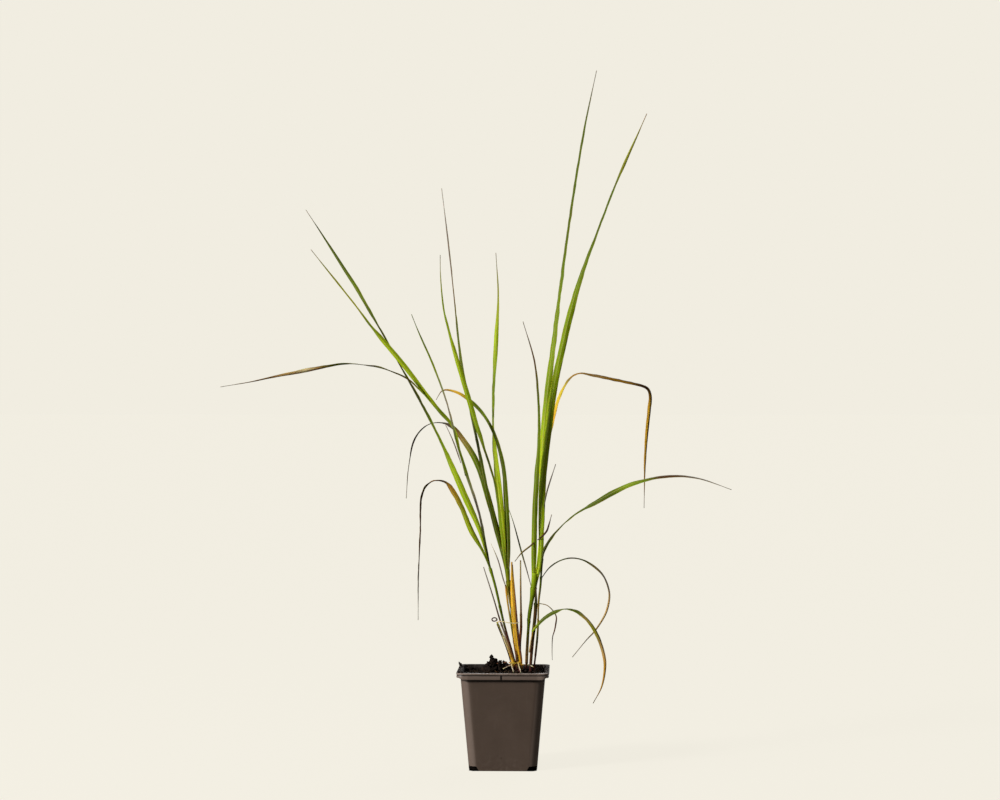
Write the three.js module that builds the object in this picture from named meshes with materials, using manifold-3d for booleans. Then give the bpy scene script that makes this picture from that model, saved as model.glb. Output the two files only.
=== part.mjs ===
// Potted feather reed grass: a young ornamental grass standing in a square nursery pot.
// Millimetres, +Z up, the front faces -Y. The origin is the middle of the pot's flat underside.

import * as THREE from "three";
import { mergeVertices } from "three/addons/utils/BufferGeometryUtils.js";
import Module from "manifold-3d";

const wasm = await Module();
wasm.setup();

// Pot: half widths are from the axis to a flat side
const POT_HEIGHT = 96;
const RIM_HALF = 45;
const WALL_TOP_HALF = 41.6;
const WALL_BOTTOM_HALF = 33.1;
const WALL = 1;
const FLOOR = 1.2;
const CORNER_TOP = 10.5;
const CORNER_BOTTOM = 9;
const CORNER_STEPS = 4;
const LIP_HEIGHT = 1.6;
const GROOVE = 0.5;
const GROOVE_HEIGHT = 0.7;
const SKIRT_HEIGHT = 7;
const SKIRT_WALL = 0.9;
const SKIRT_CORNER_LIFT = 2;
const FOOT_BEVEL = 0.6;
const EDGE_BEVEL = 0.3;
const NOTCH_X = -2.4;
const NOTCH_WIDTH = 1.3;
const NOTCH_LOW = 90.4;
const NOTCH_HIGH = 94.6;
const NOTCH_DEPTH = 3;

// Drain recesses under the four corners
const RECESS_HEIGHT = 4.4;
const RECESS_TOP_REACH = 6.6;
const RECESS_BOTTOM_REACH = 8.6;
const RECESS_OVERCUT = 2;
const DRAIN_INSET = 26.5;
const DRAIN_RADIUS = 2.2;
const HOLE_SIDES = 8;

// Compost
const CLEARANCE = 0.35;
const SOIL_LEVEL = 89.5;
const SOIL_RINGS = 9;
const SOIL_ROUGHNESS = 0.7;
const CRUMB_COUNT = 34;
const CRUMB_SEED = 7;
const CRUMB_INSET = 6;
const CRUMB_RADII = [1.4, 2.8];
const CRUMB_SCALES = [0.72, 1.22];
const HOLE_CLEARANCE = 0.6;
const HOLE_TOP = 100;

// Plant: leaves are as thick as they have to be to stand as solids
const ROOT_END = 66.4;
const COLLAR = 92;
const CROWN = 98;
const LEAF_THICKNESS = 0.7;
const LEAF_FOLD = 0.16;
const LEAF_BASE = 0.3;
const LEAF_FULL_AT = 0.2;
const LEAF_TAPER_FROM = 0.42;
const LEAF_TAPER_POWER = 1.5;
const TIP_WIDTH = 0.8;
const STEP_LENGTH = 14;
const STEM_SIDES = 6;
const THREAD_RADIUS = 0.45;
const THREAD_SIDES = 5;
const CURL_STEPS = 12;
const WELD = 1e-4;

// Soil mounds as [x, y, height, reach]: the crown, a low rise at the left, a dip at the right
const MOUNDS = [
  [18, 2, 5.2, 15],
  [-12, 6, 2.4, 12],
  [33, -28, -1.6, 14],
  [-30, -24, -1.2, 13],
];

// The tall clod and the bark bits, as [x, y, height above the soil, radius]
const CLODS = [
  [-12.5, 8, 1.6, 6.2],
  [-11.5, 7.5, 7, 4.6],
  [-12.8, 8, 11.4, 3.4],
  [-12, 7.6, 15.2, 2.2],
  [-3.5, 10, 2, 3.4],
  [-16.5, 4, 1, 3.2],
  [1, 14, 1.4, 3],
  [33, 30, 0.6, 3.4],
];

// Each shoot stands on a root [x, y, radius]. A stem's points are [x, y, z, radius] and a leaf's are
// [x, y, z, turn], where turn is how many degrees its face is turned away from the front.
const SHOOT_LEFT = {
  root: [11, 7, 1.1],
  stem: [[9.6, 7, 106, 1.1], [2.8, 6.5, 130, 1.1], [-1, 6, 146.5, 1.1], [-8.4, 6, 178, 1.2],
    [-16, 6, 202.5, 1.3]],
  leaves: [
    // Tall leaf that arches to the left, behind
    { width: 6.5, route: [[-13, 6, 193, 0], [-24, 8, 232, 0], [-37, 12, 261, 10], [-49, 15, 291, 40],
      [-63, 18, 318, 55], [-84, 22, 359, 68], [-108, 28, 402, 66], [-137.5, 36, 453, 30],
      [-161, 42, 493.5, 25], [-189, 50, 535, 35], [-201, 54, 552, 30]] },
    // Its twin in front, which leaves the upright leaf
    { width: 5, route: [[-37, 1, 286, 40], [-43, 1, 308, 50], [-50, 0, 333.5, 55], [-62, -3, 351, 50],
      [-75, -6, 366, 35], [-99, -11, 396, 10], [-116.5, -15, 417, 20], [-143, -21, 451, 50],
      [-174, -28, 491, 45], [-187, -31, 507, 10]] },
    // Long leaf that reaches far to the left
    { width: 4.6, route: [[-67, -4, 356.5, 30], [-82, -9, 371, 40], [-94, -13, 381, 60],
      [-116, -20, 390, 75], [-142, -27, 395.5, 88], [-167, -34, 394.5, 70], [-192.5, -40, 389.5, 50],
      [-218, -45, 384, 50], [-243, -49, 378, 50], [-272.5, -52, 373, 50]] },
    // Upright leaf
    { width: 5, route: [[-13.5, 6, 195, 0], [-18.5, 4, 220, 50], [-24.5, 2, 249, 60],
      [-37.5, 0, 290, 40], [-47, -6, 323, 60], [-55, -14, 356.5, 70], [-67.5, -28, 393, 50],
      [-81.5, -44, 427, 40], [-87.5, -52, 443, 30]] },
    // Leaf that kinks over and hangs at the left
    { width: 5.4, route: [[-12, 6, 191, 0], [-20, 2, 210, 30], [-32, -6, 232, 20],
      [-41.5, -13, 256, 30], [-50, -19, 274, 50], [-56.5, -22, 280, 70], [-66.5, -27, 282, 80],
      [-74.5, -31, 277, 75], [-78.5, -33, 267, 65], [-79, -36, 229.5, 60], [-80.6, -37, 191, 50],
      [-80.8, -38, 147, 40]] },
    // Thin dry leaf beside the upright one
    { width: 1.3, route: [[-41, -2, 299, 0], [-48.4, 3, 316, 0], [-52.8, 6, 326, 0],
      [-58.2, 9, 337, 0]] },
  ],
};

const SHOOT_MIDDLE = {
  root: [15.5, 5, 1],
  stem: [[14.4, 5, 112, 1], [9, 5, 147.5, 1], [5.5, 4.5, 166.5, 1.1], [4.5, 4, 178.5, 1.8],
    [3.4, 4, 194, 2.4]],
  leaves: [
    // Dark leaf that arches to the left with a golden tip
    { width: 5.2, route: [[4.4, 4, 178, 0], [4.2, 2, 216.7, 20], [3.4, 0, 261.5, 35],
      [0.7, 0, 294.5, 48], [-7, 2, 323, 52], [-20, 6, 345.5, 45], [-33.5, 10, 360.5, 45],
      [-47, 13, 369.2, 60], [-60.5, 15, 370.7, 60], [-67.5, 16, 361, 50]] },
    // Bright upright leaf
    { width: 6.5, route: [[4, 5, 184, 0], [1, 6, 216, 0], [-2, 9, 242, 5], [-5.3, 13, 272.5, 10],
      [-10, 20, 313, 50], [-11.3, 24, 333.5, 75], [-11, 32, 375.5, 60], [-8.8, 41, 421.5, 20],
      [-7, 50, 466, 40], [-9.5, 58, 508.5, 30]] },
    // Green leaf in front of it
    { width: 5.5, route: [[3.7, 3, 184, 0], [-2.6, 0, 232.5, 50], [-8.5, -3, 278, 66],
      [-16, -6, 306.5, 66], [-24, -9, 335, 40], [-33.5, -14, 365, 15], [-44.5, -21, 402.5, 20],
      [-53, -28, 431.5, 30], [-57.7, -33, 450, 50], [-60.5, -42, 481, 40], [-60, -48, 500.5, 30]] },
    // Long thin leaf that reaches highest at the left
    { width: 4.4, route: [[4.2, 5, 182, 0], [-3.3, 7, 215.5, 20], [-14, 5, 262, 30], [-20, 6, 286, 30],
      [-25.5, 9, 314, 50], [-32.5, 14, 344, 50], [-40.5, 22, 386, 40], [-47, 31, 423, 55],
      [-51, 42, 465.5, 30], [-60, 62, 538, 30], [-65, 73, 575, 20]] },
    // Olive leaf that arches over and hangs behind
    { width: 6, route: [[4.4, 4, 180, 0], [-0.5, 6, 206, 10], [-7, 10, 232, 15], [-13.5, 14, 261, 20],
      [-22.5, 18, 285.5, 15], [-30.5, 21, 304.5, 10], [-40, 24, 320.5, 20], [-51, 27, 333, 60],
      [-63.5, 30, 338.5, 80], [-75, 32, 336.5, 78], [-84.5, 34, 328.5, 60], [-90.5, 35, 319.5, 50],
      [-96, 37, 294.5, 50], [-98.5, 38, 262, 40]] },
  ],
};

const SHOOT_RIGHT = {
  root: [22.5, 2, 1.2],
  stem: [[22.6, 2, 106, 1.2], [23.3, 2, 120, 1.2], [24.2, 2, 135, 1.1], [25.4, 2, 150, 1.6],
    [27.1, 1.5, 160.5, 1.7], [29.6, 1, 177, 2.8], [30.8, 1, 190, 3]],
  leaves: [
    // Broad dark leaf at the left of the bundle
    { width: 7, route: [[29.3, 0, 176, 0], [29.7, -2, 207, 10], [32.5, -5, 252.5, 10],
      [33.6, -8, 282, 15], [35, -12, 321, 50], [34.4, -18, 356.5, 68], [30.7, -26, 397.5, 60],
      [19.7, -34, 436.5, 30]] },
    // Tallest leaf
    { width: 6.5, route: [[30.4, 1, 178, 0], [34.2, 3, 198, 10], [36.4, 5, 237, 40],
      [37.1, 8, 281.5, 40], [38, 12, 321, 40], [42, 18, 366.5, 30], [48, 25, 412, 40],
      [54.8, 35, 467, 55], [62.4, 46, 525, 62], [71, 57, 579, 62], [80.8, 69, 638, 50],
      [92, 80, 694.5, 20]] },
    // Second tall leaf, which leans to the right in front
    { width: 7, route: [[31, 0, 178, 0], [36.2, -1, 203, 10], [38, -1, 237.5, 30], [40.3, -3, 282, 40],
      [44, -6, 327, 40], [49.6, -11, 373, 25], [55.3, -16, 407.5, 20], [64, -22, 442.5, 20],
      [75, -29, 481, 35], [91, -37, 520, 50], [109.5, -46, 569, 60], [127, -53, 606, 55],
      [139, -59, 635, 30]] },
    // Kinked yellow leaf that runs level to the right and hangs
    { width: 4.5, route: [[42.7, -5, 314, 20], [46.1, 0, 331, 20], [49, 5, 343, 30],
      [54, 12, 361.5, 50], [57.3, 16, 370, 55], [63, 20, 380.3, 60], [68.5, 23, 384.7, 70],
      [76.2, 27, 387.5, 75], [89.4, 33, 385.6, 65], [105.7, 40, 382.5, 60], [122.2, 46, 379, 50],
      [136.4, 51, 376, 50], [143.5, 53, 371.5, 60], [146.2, 54, 364.5, 60], [145, 54, 353.4, 50],
      [142.5, 54, 330.3, 35], [140.5, 53, 300, 40], [139.4, 52, 252, 40]] },
    // Thin grey leaf
    { width: 1.5, route: [[39.4, -2, 254.5, 0], [42.5, -6, 270, 0], [51.3, -12, 297.7, 0]] },
    // Thin dry leaf that hangs to the left in front
    { width: 1.6, base: 1, route: [[31.5, -1.2, 222.5, 0], [29.5, -3.8, 220, 0], [26.5, -6, 217.3, 0],
      [18.2, -11, 209.5, 0], [11.3, -14, 202.4, 0]] },
    // Its dark tip at the right
    { width: 1.8, route: [[37, -1, 221, 0], [42.4, -6, 231.8, 0], [44.2, -8, 236.8, 0],
      [47.3, -11, 248.3, 0]] },
    // Thin green leaf that leans to the left behind
    { width: 1.6, route: [[28.6, 2, 171, 0], [22.6, 5, 192.8, 0], [17.6, 8, 209.6, 0],
      [8.8, 12, 241, 0], [4.4, 14, 253, 0]] },
  ],
};

const SHOOT_OUTER = {
  root: [30, 3, 0.9],
  stem: [[30.8, 3, 105, 0.9], [33, 2, 126, 0.9], [33.9, 1, 143, 0.8], [34.3, -1, 160.7, 0.8],
    [36.3, -4, 178.7, 0.9], [37.4, -9, 196.5, 1], [38.4, -11.5, 205, 1]],
  leaves: [
    // Arching leaf that reaches furthest to the right
    { width: 5.4, route: [[37.2, -8.4, 194, 0], [39.2, -13, 211.6, 30], [46.1, -18, 224.6, 60],
      [55.2, -23, 235.6, 78], [71, -30, 249, 70], [89, -37, 261.5, 45], [104.7, -42, 269.8, 20],
      [120.3, -47, 277.7, 35], [136, -51, 283, 45], [151.6, -54, 286.2, 50], [167.3, -57, 287.6, 60],
      [190.3, -60, 284.8, 50], [219.9, -63, 274.6, 40]] },
    // Thin leaf that loops over and back
    { width: 2.6, route: [[36.6, -5.5, 184.5, 0], [44.5, -3, 197.2, 40], [57, 2, 203, 50],
      [67, 5, 204.8, 60], [77.2, 8, 203, 60], [89.3, 11, 195.9, 40], [97.3, 13, 186.6, 30],
      [103.1, 14, 175.4, 30], [104.3, 14, 165.5, 20], [101.4, 14, 152, 20], [98.2, 14, 145, 30],
      [89.6, 13, 132, 30], [80.8, 12, 124, 30], [67.5, 11, 106.4, 20]] },
  ],
  threads: [
    // Dry thread that hangs beside the rim
    [[34.3, -0.8, 160.5], [43, 1, 158.7], [48.9, 2, 153.6], [52, 3, 147], [51.2, 3, 136.8],
      [48.2, 3, 127.4], [47.5, 3, 114.1], [47.8, 3, 104.3]],
  ],
};

const BROWN_SHOOT = {
  root: [26.5, -6, 1.25],
  stem: [[27, -6, 106, 1.25], [28.3, -7, 121, 1.3], [29.8, -9, 136.9, 1.4], [31.2, -10, 150.6, 1.5],
    [31.8, -11, 161.5, 1.4], [31.9, -11.5, 176.3, 0.7]],
  leaves: [
    // Low leaf that arches over the rim
    { width: 4, route: [[29.5, -8.8, 133.5, 0], [37.9, -13, 145, 30], [48.7, -18, 152.8, 40],
      [59.8, -23, 156.6, 72], [72.9, -28, 154.4, 50], [80.7, -31, 148.5, 40], [88.4, -34, 138.3, 35],
      [93.9, -36, 127.6, 25], [97.6, -37, 115.4, 10], [99.2, -37, 103.8, 0], [96.1, -36, 83, 0],
      [87.7, -34, 66.3, 20]] },
    // Shed straw across its foot
    { width: 1.4, route: [[23.8, -9.8, 101.2, 0], [26.6, -7.2, 100, 0], [29.6, -9.6, 98.8, 0]] },
  ],
};

const GOLDEN_BLADE = {
  root: [16, -7, 1.9],
  stem: [[15.8, -7, 101, 1.5], [15.4, -7, 104, 1]],
  leaves: [
    // Dead keeled blade, broad at its foot
    { width: 5.4, base: 0.55, fullAt: 0.05, taperFrom: 0.12, route: [[16, -7, 94, 20],
      [15.1, -7, 105, 20], [13, -7, 121, 20], [11.2, -7, 142.5, 20], [10.4, -7, 164, 10],
      [9.2, -7, 180, 10], [8.1, -6.5, 201.5, 0]] },
    // Strip of sheath across its foot
    { width: 1.6, base: 1, route: [[5.3, -10.2, 103.2, 0], [11, -10.6, 102.6, 0],
      [15.6, -8.2, 101.8, 0], [20.6, -9.6, 100.6, 0]] },
  ],
};

const DEAD_STEM = {
  root: [16.5, 12, 1.3],
  stem: [[15.8, 12, 105, 1.25], [15.5, 12, 119, 1.25], [16.8, 12, 134, 1.1], [16.8, 12, 149, 1],
    [16.5, 12, 172.5, 0.8], [16.3, 12, 202, 0.6]],
  leaves: [],
};

const DEAD_STUB = {
  root: [12, 15, 0.9],
  stem: [[8.8, 15, 105, 0.9], [0.3, 15, 130, 0.9], [-4.1, 15.5, 142.6, 0.8], [-11, 16, 165.5, 0.7],
    [-20.5, 17, 195, 0.5]],
  leaves: [],
};

const TAN_STEM = {
  root: [10, -4, 1.5],
  stem: [[9.3, -4, 103, 1.5], [6.2, -4.5, 109, 1.4], [0.2, -8, 125, 1.3], [-6.2, -12, 143, 1]],
  leaves: [
    // Shed straw that leans on its foot
    { width: 1.5, base: 1, route: [[9, -4.5, 100.6, 0], [4, -5.5, 98.6, 0], [-0.4, -6.5, 96.6, 0]] },
  ],
  threads: [
    // Dry curl at its top and the thread that crosses the golden blade in front
    [[-6.2, -12, 142.6], [-3, -14, 143.8], [0.5, -14.5, 143.5], [7.6, -14.5, 142.2], [13.8, -14, 142.2],
      [15.4, -13.5, 143.1]],
  ],
  curl: { middle: [-8.6, -12, 144.6], radius: 2.4 },
};

const TAN_STUB = {
  root: [12.6, 0, 0.9],
  stem: [[12.2, 0, 108, 0.9], [9.8, 0, 124, 0.9], [7.9, 0, 139, 0.9], [6, 0, 152, 0.9],
    [3.8, 0, 165.5, 0.9], [2.7, 0, 174.5, 1.2], [1.6, 0, 178.5, 0.6]],
  leaves: [
    // Its thin dried leaf
    { width: 1.3, base: 0.8, route: [[2.4, 0, 176, 0], [-0.4, 0, 184, 0], [-5.5, -2, 203, 0],
      [-12.4, -4, 219.4, 0]] },
  ],
};

const PLANTS = {
  shoot_left: { parts: SHOOT_LEFT, color: 0x6d8a1c },
  shoot_middle: { parts: SHOOT_MIDDLE, color: 0x7a9a1e },
  shoot_right: { parts: SHOOT_RIGHT, color: 0x5f8016 },
  shoot_outer: { parts: SHOOT_OUTER, color: 0x66751c },
  brown_shoot: { parts: BROWN_SHOOT, color: 0x6b4a26 },
  golden_blade: { parts: GOLDEN_BLADE, color: 0xd99a2e },
  dead_stem: { parts: DEAD_STEM, color: 0x55341f },
  dead_stub: { parts: DEAD_STUB, color: 0x6e6154 },
  tan_stem: { parts: TAN_STEM, color: 0xbf9044 },
  tan_stub: { parts: TAN_STUB, color: 0xa8834a },
};

// Plain helpers

const clamp01 = (value) => Math.min(1, Math.max(0, value));
const lerp = (from, to, share) => from + (to - from) * share;
const smooth = (share) => share * share * (3 - 2 * share);
const vector = ([x, y, z]) => new THREE.Vector3(x, y, z);

// Random numbers from 0 to 1 that are the same on each run
function seeded(seed) {
  let state = seed;
  return () => {
    state = (state * 1664525 + 1013904223) % 4294967296;
    return state / 4294967296;
  };
}

// Solids and geometries

function toGeometry(points, triangles) {
  const geometry = new THREE.BufferGeometry();
  geometry.setFromPoints(points);
  geometry.setIndex(triangles);
  return geometry;
}

function toSolid(geometry) {
  const bare = geometry.clone();
  bare.deleteAttribute("normal");
  bare.deleteAttribute("uv");
  const merged = mergeVertices(bare, WELD);
  return new wasm.Manifold(new wasm.Mesh({
    numProp: 3,
    vertProperties: new Float32Array(merged.attributes.position.array),
    triVerts: new Uint32Array(merged.index.array),
  }));
}

function fromSolid(solid) {
  const { vertProperties, triVerts } = solid.getMesh();
  const geometry = new THREE.BufferGeometry();
  geometry.setAttribute("position", new THREE.BufferAttribute(vertProperties, 3));
  geometry.setIndex(new THREE.BufferAttribute(triVerts, 1));
  geometry.computeVertexNormals();
  return geometry;
}

const fuse = (solids) => solids.reduce((whole, solid) => whole.add(solid));
const cut = (solid, tools) => tools.reduce((rest, tool) => rest.subtract(tool), solid);

// The largest of a solid's separate bodies: a crumb that a stem's hole cuts loose is dropped
function largestBody(solid) {
  return solid.decompose().reduce((kept, body) => (body.volume() > kept.volume() ? body : kept));
}

// A closed body through rings of equal length, with each end closed by a fan round its middle
function loft(rings) {
  const count = rings[0].length;
  const points = rings.flat();
  const triangles = [];
  for (let ring = 0; ring < rings.length - 1; ring++) {
    for (let i = 0; i < count; i++) {
      const a = ring * count + i;
      const b = ring * count + (i + 1) % count;
      triangles.push(a, b, b + count, a, b + count, a + count);
    }
  }
  const middleOf = (ring) => {
    const sum = ring.reduce((total, point) => total.add(point), new THREE.Vector3());
    return sum.divideScalar(count);
  };
  const last = (rings.length - 1) * count;
  const start = points.length;
  const end = start + 1;
  points.push(middleOf(rings[0]), middleOf(rings.at(-1)));
  for (let i = 0; i < count; i++) {
    const next = (i + 1) % count;
    triangles.push(start, next, i, end, last + i, last + next);
  }
  return toSolid(toGeometry(points, triangles));
}

// A thin body between two grids of points, with each cell split along the same diagonal on both faces
function slab(upper, lower) {
  const rows = upper.length;
  const columns = upper[0].length;
  const points = [...upper.flat(), ...lower.flat()];
  const top = (row, column) => row * columns + column;
  const under = (row, column) => rows * columns + top(row, column);
  const triangles = [];
  const quad = (a, b, c, d) => triangles.push(a, b, c, a, c, d);
  for (let row = 0; row < rows - 1; row++) {
    const next = row + 1;
    for (let column = 0; column < columns - 1; column++) {
      const beside = column + 1;
      quad(top(row, column), top(row, beside), top(next, beside), top(next, column));
      const diagonal = [under(row, column), under(next, beside)];
      triangles.push(diagonal[0], diagonal[1], under(row, beside));
      triangles.push(diagonal[0], under(next, column), diagonal[1]);
    }
    const edge = columns - 1;
    quad(top(row, 0), top(next, 0), under(next, 0), under(row, 0));
    quad(top(row, edge), under(row, edge), under(next, edge), top(next, edge));
  }
  const end = rows - 1;
  for (let column = 0; column < columns - 1; column++) {
    const beside = column + 1;
    quad(top(0, column), under(0, column), under(0, beside), top(0, beside));
    quad(top(end, column), top(end, beside), under(end, beside), under(end, column));
  }
  return toSolid(toGeometry(points, triangles));
}

// Stations along a smooth curve through a route, with the route's fourth value eased between its points
function stationsOf(route) {
  const knots = route.map(vector);
  const curve = new THREE.CatmullRomCurve3(knots, false, "centripetal");
  const spans = route.length - 1;
  const stations = [];
  const add = (span, share) => {
    const at = (span + share) / spans;
    const value = lerp(route[span][3], route[span + 1][3], smooth(share));
    stations.push({ point: curve.getPoint(at), tangent: curve.getTangent(at), value });
  };
  for (let span = 0; span < spans; span++) {
    const steps = Math.max(1, Math.round(knots[span].distanceTo(knots[span + 1]) / STEP_LENGTH));
    for (let step = 0; step < steps; step++) {
      add(span, step / steps);
    }
  }
  add(spans - 1, 1);
  return stations;
}

// A round stem along a route of [x, y, z, radius]
function stem(route, sides = STEM_SIDES) {
  const back = new THREE.Vector3(0, 1, 0);
  const rings = stationsOf(route).map(({ point, tangent, value: radius }) => {
    const side = back.clone().cross(tangent).normalize();
    const other = tangent.clone().cross(side);
    return Array.from({ length: sides }, (_, i) => {
      const angle = 2 * Math.PI * i / sides;
      return point.clone()
        .addScaledVector(side, radius * Math.cos(angle))
        .addScaledVector(other, radius * Math.sin(angle));
    });
  });
  return loft(rings);
}

const thread = (route) => stem(route.map((point) => [...point, THREAD_RADIUS]), THREAD_SIDES);

// A folded blade along a route of [x, y, z, turn]: narrow in its sheath, then full, then tapering to its tip
function leaf({ width, route, base = LEAF_BASE, fullAt = LEAF_FULL_AT, taperFrom = LEAF_TAPER_FROM }) {
  const stations = stationsOf(route);
  const lengths = [0];
  for (let i = 1; i < stations.length; i++) {
    lengths.push(lengths[i - 1] + stations[i].point.distanceTo(stations[i - 1].point));
  }
  const back = new THREE.Vector3(0, 1, 0);
  const upper = [];
  const lower = [];
  stations.forEach(({ point, tangent, value: turn }, i) => {
    const share = lengths[i] / lengths.at(-1);
    const opening = lerp(base, 1, smooth(clamp01(share / fullAt)));
    const taper = 1 - clamp01((share - taperFrom) / (1 - taperFrom)) ** LEAF_TAPER_POWER;
    const wide = Math.max(TIP_WIDTH, width * opening * taper);
    const flat = back.clone().cross(tangent).normalize();
    const facing = flat.clone().cross(tangent);
    const angle = THREE.MathUtils.degToRad(turn);
    const across = flat.multiplyScalar(Math.cos(angle)).addScaledVector(facing, Math.sin(angle));
    const normal = across.clone().cross(tangent);
    const row = [-0.5, 0, 0.5].map((place) => {
      const fold = place === 0 ? -LEAF_FOLD * wide : 0;
      return point.clone().addScaledVector(across, place * wide).addScaledVector(normal, fold);
    });
    upper.push(row.map((at) => at.clone().addScaledVector(normal, LEAF_THICKNESS / 2)));
    lower.push(row.map((at) => at.clone().addScaledVector(normal, -LEAF_THICKNESS / 2)));
  });
  return slab(upper, lower);
}

function curlRing({ middle, radius }) {
  const ring = new THREE.TorusGeometry(radius, THREAD_RADIUS, THREAD_SIDES, CURL_STEPS);
  ring.rotateX(Math.PI / 2);
  ring.translate(...middle);
  return toSolid(ring);
}

// A whole plant: its straight root end, its stem, its leaves and its dry threads in one body
function plant({ root: [x, y, radius], stem: above, leaves, threads = [], curl = null }) {
  const buried = [[x, y, ROOT_END, radius], [x, y, COLLAR, radius], [x, y, CROWN, radius]];
  const solids = [stem([...buried, ...above]), ...leaves.map(leaf), ...threads.map(thread)];
  if (curl) {
    solids.push(curlRing(curl));
  }
  return fuse(solids);
}

// One ring of a square with round corners, whose corners may stand higher than its sides
function squareRing(half, radius, z, cornerLift = 0) {
  const points = [];
  for (let corner = 0; corner < 4; corner++) {
    for (let step = 0; step <= CORNER_STEPS; step++) {
      const share = step / CORNER_STEPS;
      const angle = (corner + share) * Math.PI / 2;
      const middle = (corner + 0.5) * Math.PI / 2;
      const x = Math.SQRT2 * (half - radius) * Math.cos(middle) + radius * Math.cos(angle);
      const y = Math.SQRT2 * (half - radius) * Math.sin(middle) + radius * Math.sin(angle);
      const lift = cornerLift * Math.sin(Math.PI * share);
      points.push(new THREE.Vector3(x, y, z + lift));
    }
  }
  return points;
}

const wallHalf = (z) => lerp(WALL_BOTTOM_HALF, WALL_TOP_HALF, z / POT_HEIGHT);
const wallCorner = (z) => lerp(CORNER_BOTTOM, CORNER_TOP, z / POT_HEIGHT);

// The square wedge that is taken out under one corner, grown on every side by a margin
function recess(cornerX, cornerY, margin) {
  const slope = Math.SQRT2;
  const top = RECESS_HEIGHT + margin;
  const tall = top + RECESS_OVERCUT;
  const spread = (RECESS_BOTTOM_REACH - RECESS_TOP_REACH) / RECESS_HEIGHT;
  const topReach = RECESS_TOP_REACH + margin;
  const bottomReach = topReach + spread * tall;
  const wedge = new THREE.CylinderGeometry(topReach * slope, bottomReach * slope, tall, 4);
  wedge.rotateY(Math.PI / 4);
  wedge.rotateX(Math.PI / 2);
  wedge.translate(cornerX, cornerY, top - tall / 2);
  return toSolid(wedge);
}

const CORNERS = [[1, 1], [-1, 1], [-1, -1], [1, -1]];
const cornersAt = (distance) => CORNERS.map(([x, y]) => [x * distance, y * distance]);
const recesses = (margin) => cornersAt(WALL_BOTTOM_HALF).map(([x, y]) => recess(x, y, margin));

function makePot() {
  const skirtTop = POT_HEIGHT - LIP_HEIGHT;
  const skirtFoot = POT_HEIGHT - SKIRT_HEIGHT;
  const rimCorner = CORNER_TOP + RIM_HALF - WALL_TOP_HALF;
  const rim = (inset, z, lift = 0) => squareRing(RIM_HALF - inset, rimCorner - inset, z, lift);
  const shell = loft([
    squareRing(WALL_BOTTOM_HALF - FOOT_BEVEL, CORNER_BOTTOM - FOOT_BEVEL, 0),
    squareRing(WALL_BOTTOM_HALF, CORNER_BOTTOM, FOOT_BEVEL),
    squareRing(wallHalf(skirtTop), wallCorner(skirtTop), skirtTop),
    rim(GROOVE + SKIRT_WALL, skirtTop),
    rim(GROOVE + SKIRT_WALL, skirtFoot, SKIRT_CORNER_LIFT),
    rim(EDGE_BEVEL, skirtFoot, SKIRT_CORNER_LIFT),
    rim(EDGE_BEVEL, skirtTop - GROOVE_HEIGHT),
    rim(GROOVE, skirtTop - GROOVE_HEIGHT / 2),
    rim(GROOVE, skirtTop),
    rim(0, skirtTop + EDGE_BEVEL),
    rim(0, POT_HEIGHT - EDGE_BEVEL),
    rim(EDGE_BEVEL, POT_HEIGHT),
    squareRing(wallHalf(POT_HEIGHT) - WALL, wallCorner(POT_HEIGHT) - WALL, POT_HEIGHT),
    squareRing(wallHalf(FLOOR) - WALL, wallCorner(FLOOR) - WALL, FLOOR),
  ]);
  const inside = loft([EDGE_BEVEL, 2 * RECESS_HEIGHT].map((z) => (
    squareRing(wallHalf(z) - WALL / 2, wallCorner(z) - WALL / 2, z)
  )));
  const roofs = recesses(WALL).map((roof) => roof.intersect(inside));
  const notch = new THREE.BoxGeometry(NOTCH_WIDTH, NOTCH_DEPTH, NOTCH_HIGH - NOTCH_LOW);
  notch.translate(NOTCH_X, -RIM_HALF, (NOTCH_HIGH + NOTCH_LOW) / 2);
  const drains = cornersAt(DRAIN_INSET).map(([x, y]) => {
    const drain = new THREE.CylinderGeometry(DRAIN_RADIUS, DRAIN_RADIUS, 4 * FLOOR, HOLE_SIDES);
    drain.rotateX(Math.PI / 2);
    drain.translate(x, y, RECESS_HEIGHT + FLOOR / 2);
    return toSolid(drain);
  });
  return cut(fuse([shell, ...roofs]), [...recesses(0), toSolid(notch), ...drains]);
}

function soilHeight(x, y) {
  return MOUNDS.reduce((height, [moundX, moundY, rise, reach]) => {
    const distance = Math.hypot(x - moundX, y - moundY) / reach;
    return height + rise * Math.exp(-distance * distance);
  }, SOIL_LEVEL);
}

// A lump of compost: a twenty-sided ball with its corners pushed in and out
function crumb(random, [x, y, z], radius) {
  const ball = new THREE.IcosahedronGeometry(radius, 0);
  ball.deleteAttribute("normal");
  ball.deleteAttribute("uv");
  const lump = mergeVertices(ball, WELD);
  const position = lump.attributes.position;
  for (let i = 0; i < position.count; i++) {
    const scale = lerp(...CRUMB_SCALES, random());
    position.setXYZ(i, position.getX(i) * scale, position.getY(i) * scale, position.getZ(i) * scale);
  }
  lump.translate(x, y, z);
  return toSolid(lump);
}

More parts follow.
